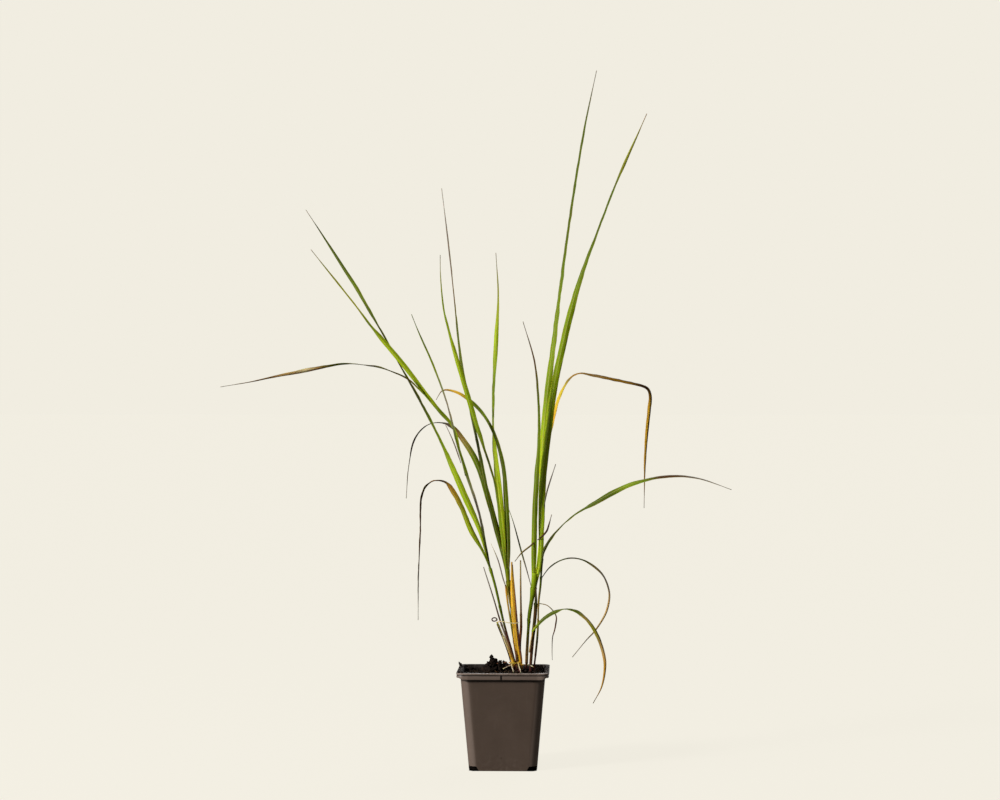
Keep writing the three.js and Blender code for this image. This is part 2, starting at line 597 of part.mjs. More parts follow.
// The compost: the pot's inside filled to a rough top, with lumps on it and a plain hole for each stem
function makeCompost() {
  const random = seeded(CRUMB_SEED);
  const fitted = (z) => squareRing(wallHalf(z) - WALL - CLEARANCE, wallCorner(z) - WALL - CLEARANCE, z);
  const foot = FLOOR + CLEARANCE;
  const edge = fitted(SOIL_LEVEL);
  const rings = [fitted(foot)];
  for (let ring = SOIL_RINGS; ring > 0; ring--) {
    const share = ring / SOIL_RINGS;
    const rough = ring === SOIL_RINGS ? 0 : SOIL_ROUGHNESS;
    rings.push(edge.map(({ x, y }) => {
      const height = soilHeight(x * share, y * share) + rough * (2 * random() - 1);
      return new THREE.Vector3(x * share, y * share, height);
    }));
  }
  const reach = wallHalf(SOIL_LEVEL) - WALL - CRUMB_INSET;
  const crumbs = CLODS.map(([x, y, rise, radius]) => crumb(random, [x, y, soilHeight(x, y) + rise], radius));
  for (let i = 0; i < CRUMB_COUNT; i++) {
    const x = reach * (2 * random() - 1);
    const y = reach * (2 * random() - 1);
    const radius = lerp(...CRUMB_RADII, random());
    crumbs.push(crumb(random, [x, y, soilHeight(x, y)], radius));
  }
  const holes = Object.values(PLANTS).map(({ parts: { root: [x, y, radius] } }) => {
    const wide = radius + HOLE_CLEARANCE;
    const bottom = ROOT_END - CLEARANCE;
    const hole = new THREE.CylinderGeometry(wide, wide, HOLE_TOP - bottom, HOLE_SIDES);
    hole.rotateX(Math.PI / 2);
    hole.translate(x, y, (HOLE_TOP + bottom) / 2);
    return toSolid(hole);
  });
  const filled = fuse([loft(rings), ...crumbs]);
  return largestBody(cut(filled, [...holes, ...recesses(WALL + CLEARANCE)]));
}

// The finished group

function named(name, solid, color, roughness) {
  const material = new THREE.MeshStandardMaterial({ color, roughness, metalness: 0 });
  const mesh = new THREE.Mesh(fromSolid(solid), material);
  mesh.name = name;
  return mesh;
}

const pottedGrass = new THREE.Group();
pottedGrass.add(named("pot", makePot(), 0x493d35, 0.55));
pottedGrass.add(named("compost", makeCompost(), 0x1d1512, 0.95));
for (const [name, { parts, color }] of Object.entries(PLANTS)) {
  pottedGrass.add(named(name, plant(parts), color, 0.5));
}

export default pottedGrass;
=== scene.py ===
"""Potted feather reed grass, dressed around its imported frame.

A young ornamental grass stands in a square nursery pot full of dark compost. The classes below make the
pot, the compost and each leafy shoot as fine surfaces, and give each of them its finish. The tables hold
millimetres, as the construction does, and `MM` turns them into the frame's metres.
"""
import logging
import math
from dataclasses import dataclass
from enum import Enum
from typing import Any, Callable, ClassVar, Iterable, Optional, Sequence, Union

import bmesh
import bpy
import numpy as np
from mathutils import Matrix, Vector


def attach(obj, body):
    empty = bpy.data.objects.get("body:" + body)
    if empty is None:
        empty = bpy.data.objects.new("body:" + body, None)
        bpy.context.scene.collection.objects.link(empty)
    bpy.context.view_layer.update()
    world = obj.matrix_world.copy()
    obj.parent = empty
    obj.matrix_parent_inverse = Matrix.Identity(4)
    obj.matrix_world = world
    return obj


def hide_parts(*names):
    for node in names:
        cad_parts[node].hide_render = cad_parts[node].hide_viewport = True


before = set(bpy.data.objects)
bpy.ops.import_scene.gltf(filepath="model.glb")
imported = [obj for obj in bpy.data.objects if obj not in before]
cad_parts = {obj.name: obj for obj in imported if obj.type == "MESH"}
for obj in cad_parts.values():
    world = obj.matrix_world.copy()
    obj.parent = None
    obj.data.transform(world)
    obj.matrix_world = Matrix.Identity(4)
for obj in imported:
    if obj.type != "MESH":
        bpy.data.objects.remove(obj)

LOG = logging.getLogger("feather_reed_grass")

MM = 0.001
BODY = "root"

UP = np.array([0.0, 0.0, 1.0])
BACK = np.array([0.0, 1.0, 0.0])
FULL_TURN = 2 * math.pi

Array = np.ndarray
Piece = bpy.types.Object
Material = bpy.types.Material


class Tint(Enum):
    """Colours of the plant, the soil and the pot, as 0xRRGGBB."""

    LIME = 0xB6C81E
    BRIGHT = 0xA0B414
    FRESH = 0x8CA20E
    GREEN = 0x768A08
    DEEP = 0x607206
    DARK = 0x4A5806
    INK = 0x2E3406
    OLIVE = 0x8A8A14
    GOLD = 0xE2AE2E
    AMBER = 0xB0801E
    KHAKI = 0x8E7838
    YELLOW = 0xDABE3C
    HONEY = 0xC8982C
    TAN = 0xC09A5C
    STRAW = 0xEAD79E
    CREAM = 0xF2E9CC
    RUST = 0x80481A
    MAROON = 0x43201A
    UMBER = 0x4C3018
    ASH = 0x9C9286
    GREY = 0x7E7266
    PEAT = 0x17110D
    EARTH = 0x33241A
    BARK = 0x5A3420
    POT = 0x504238
    DUST = 0x8C7B6E
    # Pale plastic for wear, and for the painted sheen and highlights on the pot.
    WORN_AND_HIGHLIGHT = 0x9A887C
    BACKDROP = 0xF1EDE1

    def linear(self) -> tuple[float, float, float, float]:
        """The colour in linear light.

        Returns:
            Red, green, blue and full alpha.
        """
        channels = [(self.value >> shift & 255) / 255 for shift in (16, 8, 0)]
        low, power, offset = 0.04045, 2.4, 0.055
        flat = [c / 12.92 if c <= low else ((c + offset) / (1 + offset)) ** power for c in channels]
        return (*flat, 1.0)


class Operation(Enum):
    """The sums that a Math node makes here."""

    ADD = "ADD"
    SUBTRACT = "SUBTRACT"
    MULTIPLY = "MULTIPLY"
    ABSOLUTE = "ABSOLUTE"
    COSINE = "COSINE"
    MAXIMUM = "MAXIMUM"
    MINIMUM = "MINIMUM"


class Blend(Enum):
    """How a Mix node lays one colour on another."""

    MIX = "MIX"
    MULTIPLY = "MULTIPLY"


class Slot(Enum):
    """Material slots of the record."""

    POT = "pot_plastic"
    COMPOST = "compost"
    GREEN = "green_leaf"
    OLIVE = "olive_leaf"
    GOLDEN = "golden_leaf"
    BROWN = "brown_stem"
    TAN = "tan_stem"
    GREY = "grey_stem"


Link = Union["Value", bpy.types.NodeSocket, float, Sequence[float]]
Inputs = dict[Union[str, int], Link]
Socket = bpy.types.NodeSocket


def sums(operation: Operation, turned: bool = False) -> Callable[..., "Value"]:
    """Makes a method of Value that adds one Math node.

    Args:
        operation: What the node does.
        turned: Whether the other value comes first.

    Returns:
        The method. It takes one other value, or none where the operation has only one.
    """
    def method(self: "Value", *other: Link) -> "Value":
        """One Math node on this number, and on another where there is one."""
        values = (*other, self) if turned else (self, *other)
        return self.graph.value("ShaderNodeMath", {"operation": operation.value}, dict(enumerate(values)))

    return method


class Value:
    """A number that varies over a surface. Sums on it add Math nodes to its graph."""

    def __init__(self, graph: "Graph", socket: Socket) -> None:
        """Wraps a socket.

        Args:
            graph: The graph that the socket is in.
            socket: The output that holds the number.
        """
        self.graph = graph
        self.socket = socket

    __add__ = __radd__ = sums(Operation.ADD)
    __sub__ = sums(Operation.SUBTRACT)
    __rsub__ = sums(Operation.SUBTRACT, turned=True)
    __mul__ = __rmul__ = sums(Operation.MULTIPLY)
    __abs__ = sums(Operation.ABSOLUTE)
    cosine = sums(Operation.COSINE)
    at_most = sums(Operation.MINIMUM)
    at_least = sums(Operation.MAXIMUM)

    def step(self, low: float, high: float) -> "Value":
        """A smooth step of this number.

        Args:
            low: Where the step is 0.
            high: Where the step is 1. It may lie under low, which turns the step round.

        Returns:
            The share from 0 to 1.
        """
        settings = {"interpolation_type": "SMOOTHSTEP", "clamp": True}
        bounds = {"Value": self, "From Min": min(low, high), "From Max": max(low, high)}
        rising = self.graph.value("ShaderNodeMapRange", settings, bounds, "Result")
        return 1 - rising if high < low else rising

    def around(self, middle: float, spread: float) -> "Value":
        """This noise from 0 to 1, moved and stretched to run evenly round a middle."""
        return self * spread + (middle - spread / 2)


class Graph:
    """A material's or the world's nodes, made from plain calls."""

    def __init__(self, tree: bpy.types.NodeTree) -> None:
        """Clears a node tree and keeps it.

        Args:
            tree: The tree to fill.
        """
        self.tree = tree
        tree.nodes.clear()

    def node(self, kind: str, settings: dict[str, Any], values: Inputs) -> bpy.types.Node:
        """Adds one node.

        Args:
            kind: The node's type.
            settings: What is set on the node before its sockets. The stops of a ramp are pairs of a
                place and a colour.
            values: Numbers, colours or links for its inputs, by name or by number.

        Returns:
            The node.
        """
        made = self.tree.nodes.new(kind)
        for name, setting in settings.items():
            if name == "stops":
                self._set_stops(made.color_ramp, setting)
            else:
                setattr(made, name, setting)
        for key, link in values.items():
            self._feed(made.inputs[key], link)
        return made

    def _set_stops(self, ramp: bpy.types.ColorRamp, stops: Sequence[tuple[float, Sequence[float]]]) -> None:
        """Gives a ramp its stops.

        Args:
            ramp: The ramp, which has two stops when it is new.
            stops: Pairs of a place from 0 to 1 and a linear colour, in order.
        """
        while len(ramp.elements) < len(stops):
            ramp.elements.new(1.0)
        for element, (place, colour) in zip(ramp.elements, stops):
            element.position = place
            element.color = colour

    def _feed(self, entry: Socket, link: Link) -> None:
        """Links a socket or sets its value.

        Args:
            entry: The input.
            link: What goes into it.
        """
        if isinstance(link, Value):
            self.tree.links.new(link.socket, entry)
        elif isinstance(link, Socket):
            self.tree.links.new(link, entry)
        else:
            entry.default_value = link

    def value(self, kind: str, settings: dict[str, Any], values: Inputs,
              output: Union[str, int] = 0) -> Value:
        """Adds a node and gives one of its outputs as a number.

        Args:
            kind: The node's type.
            settings: Its settings.
            values: Its inputs.
            output: The output that is wanted.

        Returns:
            The number.
        """
        return Value(self, self.node(kind, settings, values).outputs[output])

    def noise(self, place: Link, scale: float, detail: float = 3.0, roughness: float = 0.55) -> Value:
        """Soft noise from about 0 to 1.

        Args:
            place: The point that it is read at.
            scale: Waves for each unit of the place.
            detail: How many finer layers it has.
            roughness: How strong the finer layers are.

        Returns:
            The noise.
        """
        values = {"Vector": place, "Scale": scale, "Detail": detail, "Roughness": roughness}
        return self.value("ShaderNodeTexNoise", {}, values, "Fac")

    def cells(self, place: Link, scale: float) -> Value:
        """The distance to the nearest of scattered points, for grains and specks."""
        return self.value("ShaderNodeTexVoronoi", {}, {"Vector": place, "Scale": scale}, "Distance")

    def vector(self, x: Link, y: Link, z: Link = 0.0) -> Socket:
        """Three numbers as one vector."""
        return self.node("ShaderNodeCombineXYZ", {}, {"X": x, "Y": y, "Z": z}).outputs[0]

    def coordinates(self, output: str) -> Socket:
        """One of the coordinates of the surface, such as Object or UV."""
        return self.node("ShaderNodeTexCoord", {}, {}).outputs[output]

    def split(self, vector: Link) -> tuple[Value, Value, Value]:
        """The three numbers of a vector."""
        parts = self.node("ShaderNodeSeparateXYZ", {}, {"Vector": vector})
        return tuple(Value(self, socket) for socket in parts.outputs)

    def ramp(self, share: Link, stops: Sequence[tuple[float, Sequence[float]]]) -> Socket:
        """A colour that runs through stops.

        Args:
            share: The place on the ramp, from 0 to 1.
            stops: Pairs of a place and a linear colour.

        Returns:
            The colour.
        """
        return self.node("ShaderNodeValToRGB", {"stops": stops}, {"Fac": share}).outputs["Color"]

    def shader(self, kind: str, values: Inputs) -> Socket:
        """Adds a shader node without settings and gives its output."""
        return self.node(kind, {}, values).outputs[0]

    def blended(self, share: Link, first: Link, second: Link) -> Socket:
        """Two shaders mixed, by the share of the second one."""
        return self.shader("ShaderNodeMixShader", {0: share, 1: first, 2: second})

    def two_sided(self, seen: Link, thrown: Link) -> Socket:
        """One shader for the camera and another one for all the light that goes on from here."""
        path = self.node("ShaderNodeLightPath", {}, {})
        return self.blended(path.outputs["Is Camera Ray"], thrown, seen)

    def mix(self, share: Link, under: Link, over: Link, blend: Blend = Blend.MIX) -> Socket:
        """One colour laid on another.

        Args:
            share: How much of the upper colour shows.
            under: The lower colour.
            over: The upper colour.
            blend: How they meet.

        Returns:
            The mixed colour.
        """
        settings = {"data_type": "RGBA", "blend_type": blend.value}
        made = self.node("ShaderNodeMix", settings, {})
        self._feed(made.inputs["Factor"], share)
        colour_inputs = [entry for entry in made.inputs if entry.type == "RGBA"]
        self._feed(colour_inputs[0], under)
        self._feed(colour_inputs[1], over)
        return next(out for out in made.outputs if out.type == "RGBA")

    def shade(self, colour: Link, amount: Value) -> Socket:
        """A colour made darker or lighter by a number round 1."""
        return self.mix(1.0, colour, amount.socket, Blend.MULTIPLY)

    def layered(self, colour: Link, layers: Iterable[tuple[Value, Tint]]) -> Link:
        """A colour under several coats.

        Args:
            colour: The lowest colour.
            layers: Pairs of how much a coat shows and its tint, from the bottom up.

        Returns:
            The colour on top.
        """
        for share, tint in layers:
            colour = self.mix(share, colour, tint.linear())
        return colour


class Finish(Graph):
    """The graph of a new material with a Principled shader."""

    def __init__(self, name: str, constants: dict[str, Any]) -> None:
        """Makes the material and joins the shader to its output.

        Args:
            name: The material's name.
            constants: What is the same all over the surface, by socket name.
        """
        self.material = bpy.data.materials.new(name)
        self.material.use_nodes = True
        super().__init__(self.material.node_tree)
        self.principled = self.node("ShaderNodeBsdfPrincipled", {}, constants)
        self.node("ShaderNodeOutputMaterial", {}, {"Surface": self.principled.outputs["BSDF"]})

    def dressed(self, colour: Link, roughness: Value, relief: Value, depth: float,
                strength: float = 1.0) -> Material:
        """Joins what varies over the surface to the shader.

        Args:
            colour: Its colour.
            roughness: Its roughness.
            relief: Its low relief, from 0 to 1.
            depth: How deep the relief is, in metres.
            strength: How much of the relief shows.

        Returns:
            The material.
        """
        bump = self.node("ShaderNodeBump", {}, {"Height": relief, "Distance": depth, "Strength": strength})
        inputs = {"Base Color": colour, "Roughness": roughness, "Normal": bump.outputs["Normal"]}
        for name, link in inputs.items():
            self._feed(self.principled.inputs[name], link)
        return self.material


Stops = Sequence[tuple[float, Tint]]
Fade = tuple[float, float]


@dataclass(frozen=True)
class LeafSkin:
    """Leaf surface: colours along the blade, veins, a pale midrib, a painted lime highlight along the
    margins, streaks, dry edges, painted shade on one half and specks.

    Lengths are metres, places across run from 0 to 1, and a fade is where a mask is 0 and where it is 1.
    """

    veins: float = 9.0
    vein_contrast: float = 0.22
    rib_half: float = 0.05
    rib_light: float = 0.2
    streak: float = 0.34
    streaks_across: float = 5.0
    streak_length: float = 0.045
    scorch: float = 0.3
    scorch_across: Fade = (0.36, 0.5)
    scorch_patches: Fade = (0.45, 0.62)
    # Painted lime highlight along the leaf's edges, and where it lies.
    margin: float = 0.25
    edge_highlight_across: Fade = (0.4, 0.48)
    # Painted shade on one half of the leaf, in the dry tint, and where it lies.
    painted_shade_half: float = 0.0
    painted_shade_across: Fade = (0.52, 0.4)
    painted_shade_along: Fade = (0.3, 0.45)
    painted_shade_wander: float = 0.2
    specks: float = 0.5
    specks_across: float = 3.0
    speck_length: float = 0.004
    speck_size: Fade = (0.16, 0.05)
    speck_patches: Fade = (0.5, 0.7)
    patches_across: float = 1.2
    patch_length: float = 0.03
    stop_wander: float = 0.03
    roughness: float = 0.5
    roughness_spread: float = 0.2
    specular: float = 0.12
    relief: float = 0.00006
    subsurface: float = 0.12
    subsurface_depth: float = 0.0006

    def material(self, name: str, stops: Stops, length: float, dry_and_shade_tint: Tint) -> Material:
        """Makes the skin of one leaf.

        The UV map runs across the leaf in U and along it in V. Veins are a cosine of U, the midrib is a
        narrow step round the middle, and streaks are noise that is stretched along V.

        Args:
            name: The material's name.
            stops: The leaf's colours as pairs of a share of its length and a tint.
            length: The leaf's length in metres, which sets how long the streaks are.
            dry_and_shade_tint: The colour of its dry edges and of the painted shade on one half.

        Returns:
            The material.
        """
        graph = Finish(name, {
            "IOR": 1.4, "Specular IOR Level": self.specular, "Subsurface Weight": self.subsurface,
            "Subsurface Scale": self.subsurface_depth})
        across, along, _ = graph.split(graph.coordinates("UV"))
        seed = float(sum(map(ord, name)) % 97)
        streak_place, patch_place, speck_place = (
            graph.vector(across * waves_across, along * (length / wave_length), seed + shift)
            for waves_across, wave_length, shift in (
                (self.streaks_across, self.streak_length, 0.0), (self.patches_across, self.patch_length, 3.0),
                (self.specks_across, self.speck_length, 0.0)))
        streaks = graph.noise(streak_place, 1.0)
        patches = graph.noise(patch_place, 1.0, 2.0)
        vein = (across * (FULL_TURN * self.veins)).cosine()
        from_middle = abs(across - 0.5)
        colours = [(place, tint.linear()) for place, tint in stops]
        colour = graph.ramp(along + streaks.around(0.0, self.stop_wander), colours)
        colour = graph.shade(colour, vein * (self.vein_contrast / 2) + streaks.around(1.0, 2 * self.streak))
        rib = from_middle.step(self.rib_half, 0.4 * self.rib_half)
        # Painted shade on one half of the leaf.
        dead = (across + streaks.around(0.0, self.painted_shade_wander)).step(*self.painted_shade_across)
        margin = from_middle.step(*self.edge_highlight_across)
        edges = from_middle.step(*self.scorch_across) * patches.step(*self.scorch_patches)
        specks = graph.cells(speck_place, 1.0).step(*self.speck_size) * patches.step(*self.speck_patches)
        colour = graph.layered(colour, (
            (rib * self.rib_light, Tint.STRAW),
            # Painted shade on one half, in the dry tint.
            (dead * along.step(*self.painted_shade_along) * self.painted_shade_half, dry_and_shade_tint),
            # Painted lime highlight along the edges.
            (margin * self.margin, Tint.LIME),
            (edges * self.scorch, dry_and_shade_tint),
            (specks * self.specks, Tint.RUST)))
        roughness = patches.around(self.roughness, self.roughness_spread)
        return graph.dressed(colour, roughness, vein * 0.5 + streaks, self.relief)


FRESH_LEAF = LeafSkin()
DRY_LEAF = LeafSkin(vein_contrast=0.35, rib_light=0.2, streak=0.5, scorch=0.6, margin=0.0, specks=0.7,
                    roughness=0.68, specular=0.1, relief=0.0001, subsurface=0.05)
# A split leaf with painted shade on one half.
SPLIT_LEAF = LeafSkin(vein_contrast=0.3, rib_light=0.1, streak=0.45, scorch=0.5, margin=0.0, painted_shade_half=0.8,
                      roughness=0.6, specular=0.1, relief=0.0001, subsurface=0.05)
CULM_SKIN = LeafSkin(veins=12.0, vein_contrast=0.2, rib_light=0.0, streak=0.45, scorch=0.0, margin=0.0,
                     specks=0.5, roughness=0.5, subsurface=0.05, streaks_across=4.0, streak_length=0.02)


@dataclass(frozen=True)
class Band:
    """A stretch of the pot's profile: where it fades in and where it fades out, as shares of the profile."""

    fade_in: Fade
    fade_out: Fade

    def mask(self, profile: Value) -> Value:
        """1 inside the stretch and 0 outside."""
        return profile.step(*self.fade_in) * profile.step(*self.fade_out)


@dataclass(frozen=True)
class Patches:
    """A coat that shows in patches: more of it where a noise is high, and the least share everywhere."""

    fade: Fade
    more: float
    least: float = 0.0

    def share(self, noise: Value) -> Value:
        """How much of the coat shows."""
        return noise.step(*self.fade) * self.more + self.least


@dataclass(frozen=True)
class PlasticFinish:
    """Satin recycled plastic: grain, cloudy tone, corners lightened by wear and a painted sheen, a painted
    highlight on the front of the lip and the skirt, dust low down, peat on the rim, a darker inner wall, and
    painted shade under the skirt, in the groove, at the skirt's foot and on the underside.
    """

    base: Tint = Tint.POT
    dust: Tint = Tint.DUST
    soil: Tint = Tint.EARTH
    # Peat on the rim; also the colour of the painted shade under the skirt, in the groove and at the skirt's
    # foot, and of the darker inner wall.
    peat: Tint = Tint.PEAT
    worn_and_highlight: Tint = Tint.WORN_AND_HIGHLIGHT
    cloud_scale: float = 38.0
    cloud_tone: float = 0.36
    grain_scale: float = 2600.0
    grain_tone: float = 0.12
    blotch_scale: float = 210.0
    mark_scales: tuple[float, float] = (420.0, 30.0)
    marks: Patches = Patches((0.56, 0.74), 0.03)
    # Corners lightened by wear and a painted sheen.
    corner_wear_and_sheen: Fade = (0.0245, 0.0268)
    corner_wear_and_sheen_share: float = 0.2
    wall_slope: float = 0.0885
    low_dust: Patches = Patches((0.45, 0.65), 0.08)
    low_height: Fade = (0.02, 0.001)
    high_soil: Patches = Patches((0.55, 0.68), 0.25)
    high_height: Fade = (0.084, 0.093)
    # The inner wall is darker, towards peat in patches.
    inside_darkening: Patches = Patches((0.3, 0.55), 0.3, 0.12)
    inside_profile: Fade = (0.8235, 0.8275)
    front_depth: Fade = (-0.036, -0.042)
    lip: Band = Band((0.752, 0.758), (0.812, 0.806))
    # Painted highlight on the front of the lip, in patches.
    lip_highlight: Patches = Patches((0.25, 0.6), 0.35, 0.12)
    top_profile: Fade = (0.775, 0.785)
    top_peat: Patches = Patches((0.36, 0.56), 0.45, 0.45)
    skirt: Band = Band((0.712, 0.716), (0.736, 0.733))
    # Painted highlight on the front of the skirt.
    skirt_highlight: float = 0.2
    # Painted shadow on the wall just under the skirt.
    under_rim_height: Fade = (0.0868, 0.0888)
    under_rim_profile: Fade = (0.66, 0.655)
    # Painted shade in the groove and at the skirt's foot, and how dark all this painted shade is.
    groove: Band = Band((0.733, 0.736), (0.756, 0.75))
    skirt_foot: Band = Band((0.682, 0.69), (0.716, 0.71))
    painted_shade_share: float = 0.8
    gate: tuple[float, float, float] = (-0.0016, -0.0342, 0.0129)
    gate_reach: Fade = (1.1e-6, 0.1e-6)
    gate_share: float = 0.5
    # Painted shade on the underside and in its drain recesses.
    underside_profile: Fade = (0.3, 0.295)
    underside_painted_shade: float = 0.85
    roughness: float = 0.43
    cloud_rough: float = 0.14
    dry_rough: Patches = Patches((0.45, 0.7), 0.1)
    top_rough: float = 0.4
    relief: float = 0.00004
    relief_strength: float = 0.7

    def material(self) -> Material:
        """Makes the pot's plastic.

        Corners are lightened, as wear and a painted sheen, by the smaller of the two distances from the middle
        planes, less the wall's slope times the height. The moulding gate is a dot round a place on the wall, by
        the squared distance.

        Returns:
            The material, which reads Object coordinates and the UV map's place along the pot's profile.
        """
        graph = Finish("pot_plastic", {"IOR": 1.5, "Specular IOR Level": 0.35})
        place = graph.coordinates("Object")
        x, y, height = graph.split(place)
        _, profile, _ = graph.split(graph.coordinates("UV"))
        clouds = graph.noise(place, self.cloud_scale, 4.0)
        grain = graph.noise(place, self.grain_scale, 2.0)
        blotches = graph.noise(place, self.blotch_scale, 5.0, 0.7)
        wide, tall = self.mark_scales
        marks = graph.noise(graph.vector(x * wide, y * wide, height * tall), 1.0)
        inward = abs(x).at_most(abs(y)) - height * self.wall_slope
        front = y.step(*self.front_depth)
        upward = profile.step(*self.top_profile) * (1 - front)
        # Painted shadow under the skirt, and painted shade in the groove and at the skirt's foot.
        painted_shadow_under_rim = height.step(*self.under_rim_height) * profile.step(*self.under_rim_profile)
        painted_shade_recesses = self.groove.mask(profile) + self.skirt_foot.mask(profile)
        away_x, away_y, away_z = x - self.gate[0], y - self.gate[1], height - self.gate[2]
        gate = (away_x * away_x + away_y * away_y + away_z * away_z).step(*self.gate_reach)
        colour = graph.shade(self.base.linear(), clouds.around(1.0, self.cloud_tone))
        colour = graph.shade(colour, grain.around(1.0, self.grain_tone))
        colour = graph.layered(colour, (
            # Corners lightened by wear and a painted sheen.
            (inward.step(*self.corner_wear_and_sheen) * self.corner_wear_and_sheen_share, self.worn_and_highlight),
            (self.marks.share(marks), self.dust),
            (height.step(*self.low_height) * self.low_dust.share(blotches), self.dust),
            (height.step(*self.high_height) * self.high_soil.share(blotches), self.soil),
            # The inner wall is darker.
            (profile.step(*self.inside_profile) * self.inside_darkening.share(blotches), self.peat),
            # Painted highlight on the front of the lip.
            (self.lip.mask(profile) * front * self.lip_highlight.share(blotches), self.worn_and_highlight),
            (upward * self.top_peat.share(blotches), self.peat),
            # Painted highlight on the front of the skirt.
            (self.skirt.mask(profile) * front * self.skirt_highlight, self.worn_and_highlight),
            # Painted shade under the skirt, in the groove and at the skirt's foot.
            (painted_shadow_under_rim * self.painted_shade_share, self.peat),
            (painted_shade_recesses * self.painted_shade_share, self.peat),
            (gate * self.gate_share, self.soil)))
        # Painted shade: the underside is made darker.
        colour = graph.shade(colour, 1 - profile.step(*self.underside_profile) * self.underside_painted_shade)
        dusty = self.dry_rough.share(blotches) + upward * self.top_rough
        roughness = (clouds.around(self.roughness, self.cloud_rough) + dusty).at_most(1.0)
        return graph.dressed(colour, roughness, grain * 0.5 + blotches, self.relief, self.relief_strength)


@dataclass(frozen=True)
class SoilFinish:
    """Matt grains of one tone with a second tone in patches, for peat, bark and grit."""

    base: Tint
    second: Tint
    patch_scale: float = 240.0
    patch_share: float = 0.6
    roughness: float = 0.93
    roughness_spread: float = 0.2
    patch_fade: Fade = (0.42, 0.68)
    grain_finer: float = 9.0
    grain_tone: float = 1.1
    fibre_finer: float = 3.2
    relief: float = 0.0004

    def material(self, name: str) -> Material:
        """Makes the soil material.

        Args:
            name: The material's name.

        Returns:
            The material, which reads Object coordinates.
        """
        graph = Finish(name, {"Specular IOR Level": 0.12})
        place = graph.coordinates("Object")
        patches = graph.noise(place, self.patch_scale, 5.0, 0.65)
        grain = graph.noise(place, self.patch_scale * self.grain_finer, 3.0, 0.6)
        fibres = graph.cells(place, self.patch_scale * self.fibre_finer)
        second = patches.step(*self.patch_fade) * self.patch_share
        colour = graph.layered(self.base.linear(), [(second, self.second)])
        colour = graph.shade(colour, grain.around(1.0, self.grain_tone))
        roughness = patches.around(self.roughness, self.roughness_spread).at_most(1.0)
        return graph.dressed(colour, roughness, grain + fibres, self.relief)


@dataclass
class Surface:
    """A mesh in the making: points in metres, faces by point number, and a UV pair for each point."""

    points: Array
    quads: Array
    triangles: Array
    uv: Array

    @staticmethod
    def joined(parts: Iterable["Surface"]) -> "Surface":
        """Several surfaces as one, with their face numbers moved on.

        Args:
            parts: The surfaces.

        Returns:
            The joined surface.
        """
        kept = list(parts)
        starts = np.cumsum([0] + [len(part.points) for part in kept[:-1]])
        return Surface(
            np.concatenate([part.points for part in kept]),
            np.concatenate([part.quads + start for part, start in zip(kept, starts)]),
            np.concatenate([part.triangles + start for part, start in zip(kept, starts)]),
            np.concatenate([part.uv for part in kept]),
        )


NO_TRIANGLES = np.zeros((0, 3), int)
NO_QUADS = np.zeros((0, 4), int)


def lattice(rows: int, columns: int, wrap_rows: bool = False, wrap_columns: bool = False) -> Array:
    """The faces of a grid: each one joins a point, its neighbour in the row, and the two in the next row.

    Args:
        rows: Rows of points.
        columns: Points in a row.
        wrap_rows: Whether the last row joins the first.
        wrap_columns: Whether each row is a closed ring.

    Returns:
        Faces of four point numbers.
    """
    down_to, across_to = rows - (not wrap_rows), columns - (not wrap_columns)
    i, j = np.meshgrid(np.arange(down_to), np.arange(across_to), indexing="ij")
    down = (i + 1) % rows
    beside = (j + 1) % columns
    corners = [i * columns + j, i * columns + beside, down * columns + beside, down * columns + j]
    return np.stack(corners, -1).reshape(-1, 4)


def tube(rings: Array, uv: Optional[Array] = None) -> Surface:
    """A closed body through rings: a grid that wraps round, with a fan to the middle of each end ring.

    Args:
        rings: Points as (ring, place, 3), counter-clockwise as seen against the direction of travel.
        uv: Texture places as (ring, place, 2), if its finish reads any.

    Returns:
        The surface.
    """
    count, size = rings.shape[:2]
    grids = (rings, np.zeros((count, size, 2)) if uv is None else uv)
    points, flat_uv = (np.concatenate([grid.reshape(-1, grid.shape[-1]), grid[0].mean(0)[None],
                                       grid[-1].mean(0)[None]]) for grid in grids)
    place = np.arange(size)
    beside = (place + 1) % size
    first = np.stack([np.full(size, count * size), beside, place], -1)
    base = (count - 1) * size
    last = np.stack([np.full(size, count * size + 1), base + place, base + beside], -1)
    return Surface(points, lattice(count, size, wrap_columns=True), np.concatenate([first, last]), flat_uv)


def paired(first: Array, second: Array) -> Array:
    """Two tables that fit each other's shape, as one table of pairs."""
    return np.stack(np.broadcast_arrays(first, second), -1)


def angles_round(count: int) -> Array:
    """Evenly spaced angles of a full turn."""
    return np.linspace(0.0, FULL_TURN, count, endpoint=False)


def ring_points(middle: Array, sides: Sequence[Array], reach: Array, angle: Array) -> Array:
    """Points round a line: one side direction goes with the angle's cosine, and the other with its sine.

    Args:
        middle: The line's points, with an axis for the angle.
        sides: The two directions square to the line, in the same shape.
        reach: How far each point is from the line.
        angle: The angle of each place on a ring.

    Returns:
        The points.
    """
    over, up = ((reach * turned(angle))[..., None] for turned in (np.cos, np.sin))
    return middle + sides[0] * over + sides[1] * up


def placed(name: str, data: bpy.types.ID) -> Piece:
    """A new object in the scene.

    Args:
        name: Its name.
        data: Its mesh, light or camera.

    Returns:
        The object.
    """
    made = bpy.data.objects.new(name, data)
    bpy.context.scene.collection.objects.link(made)
    return made


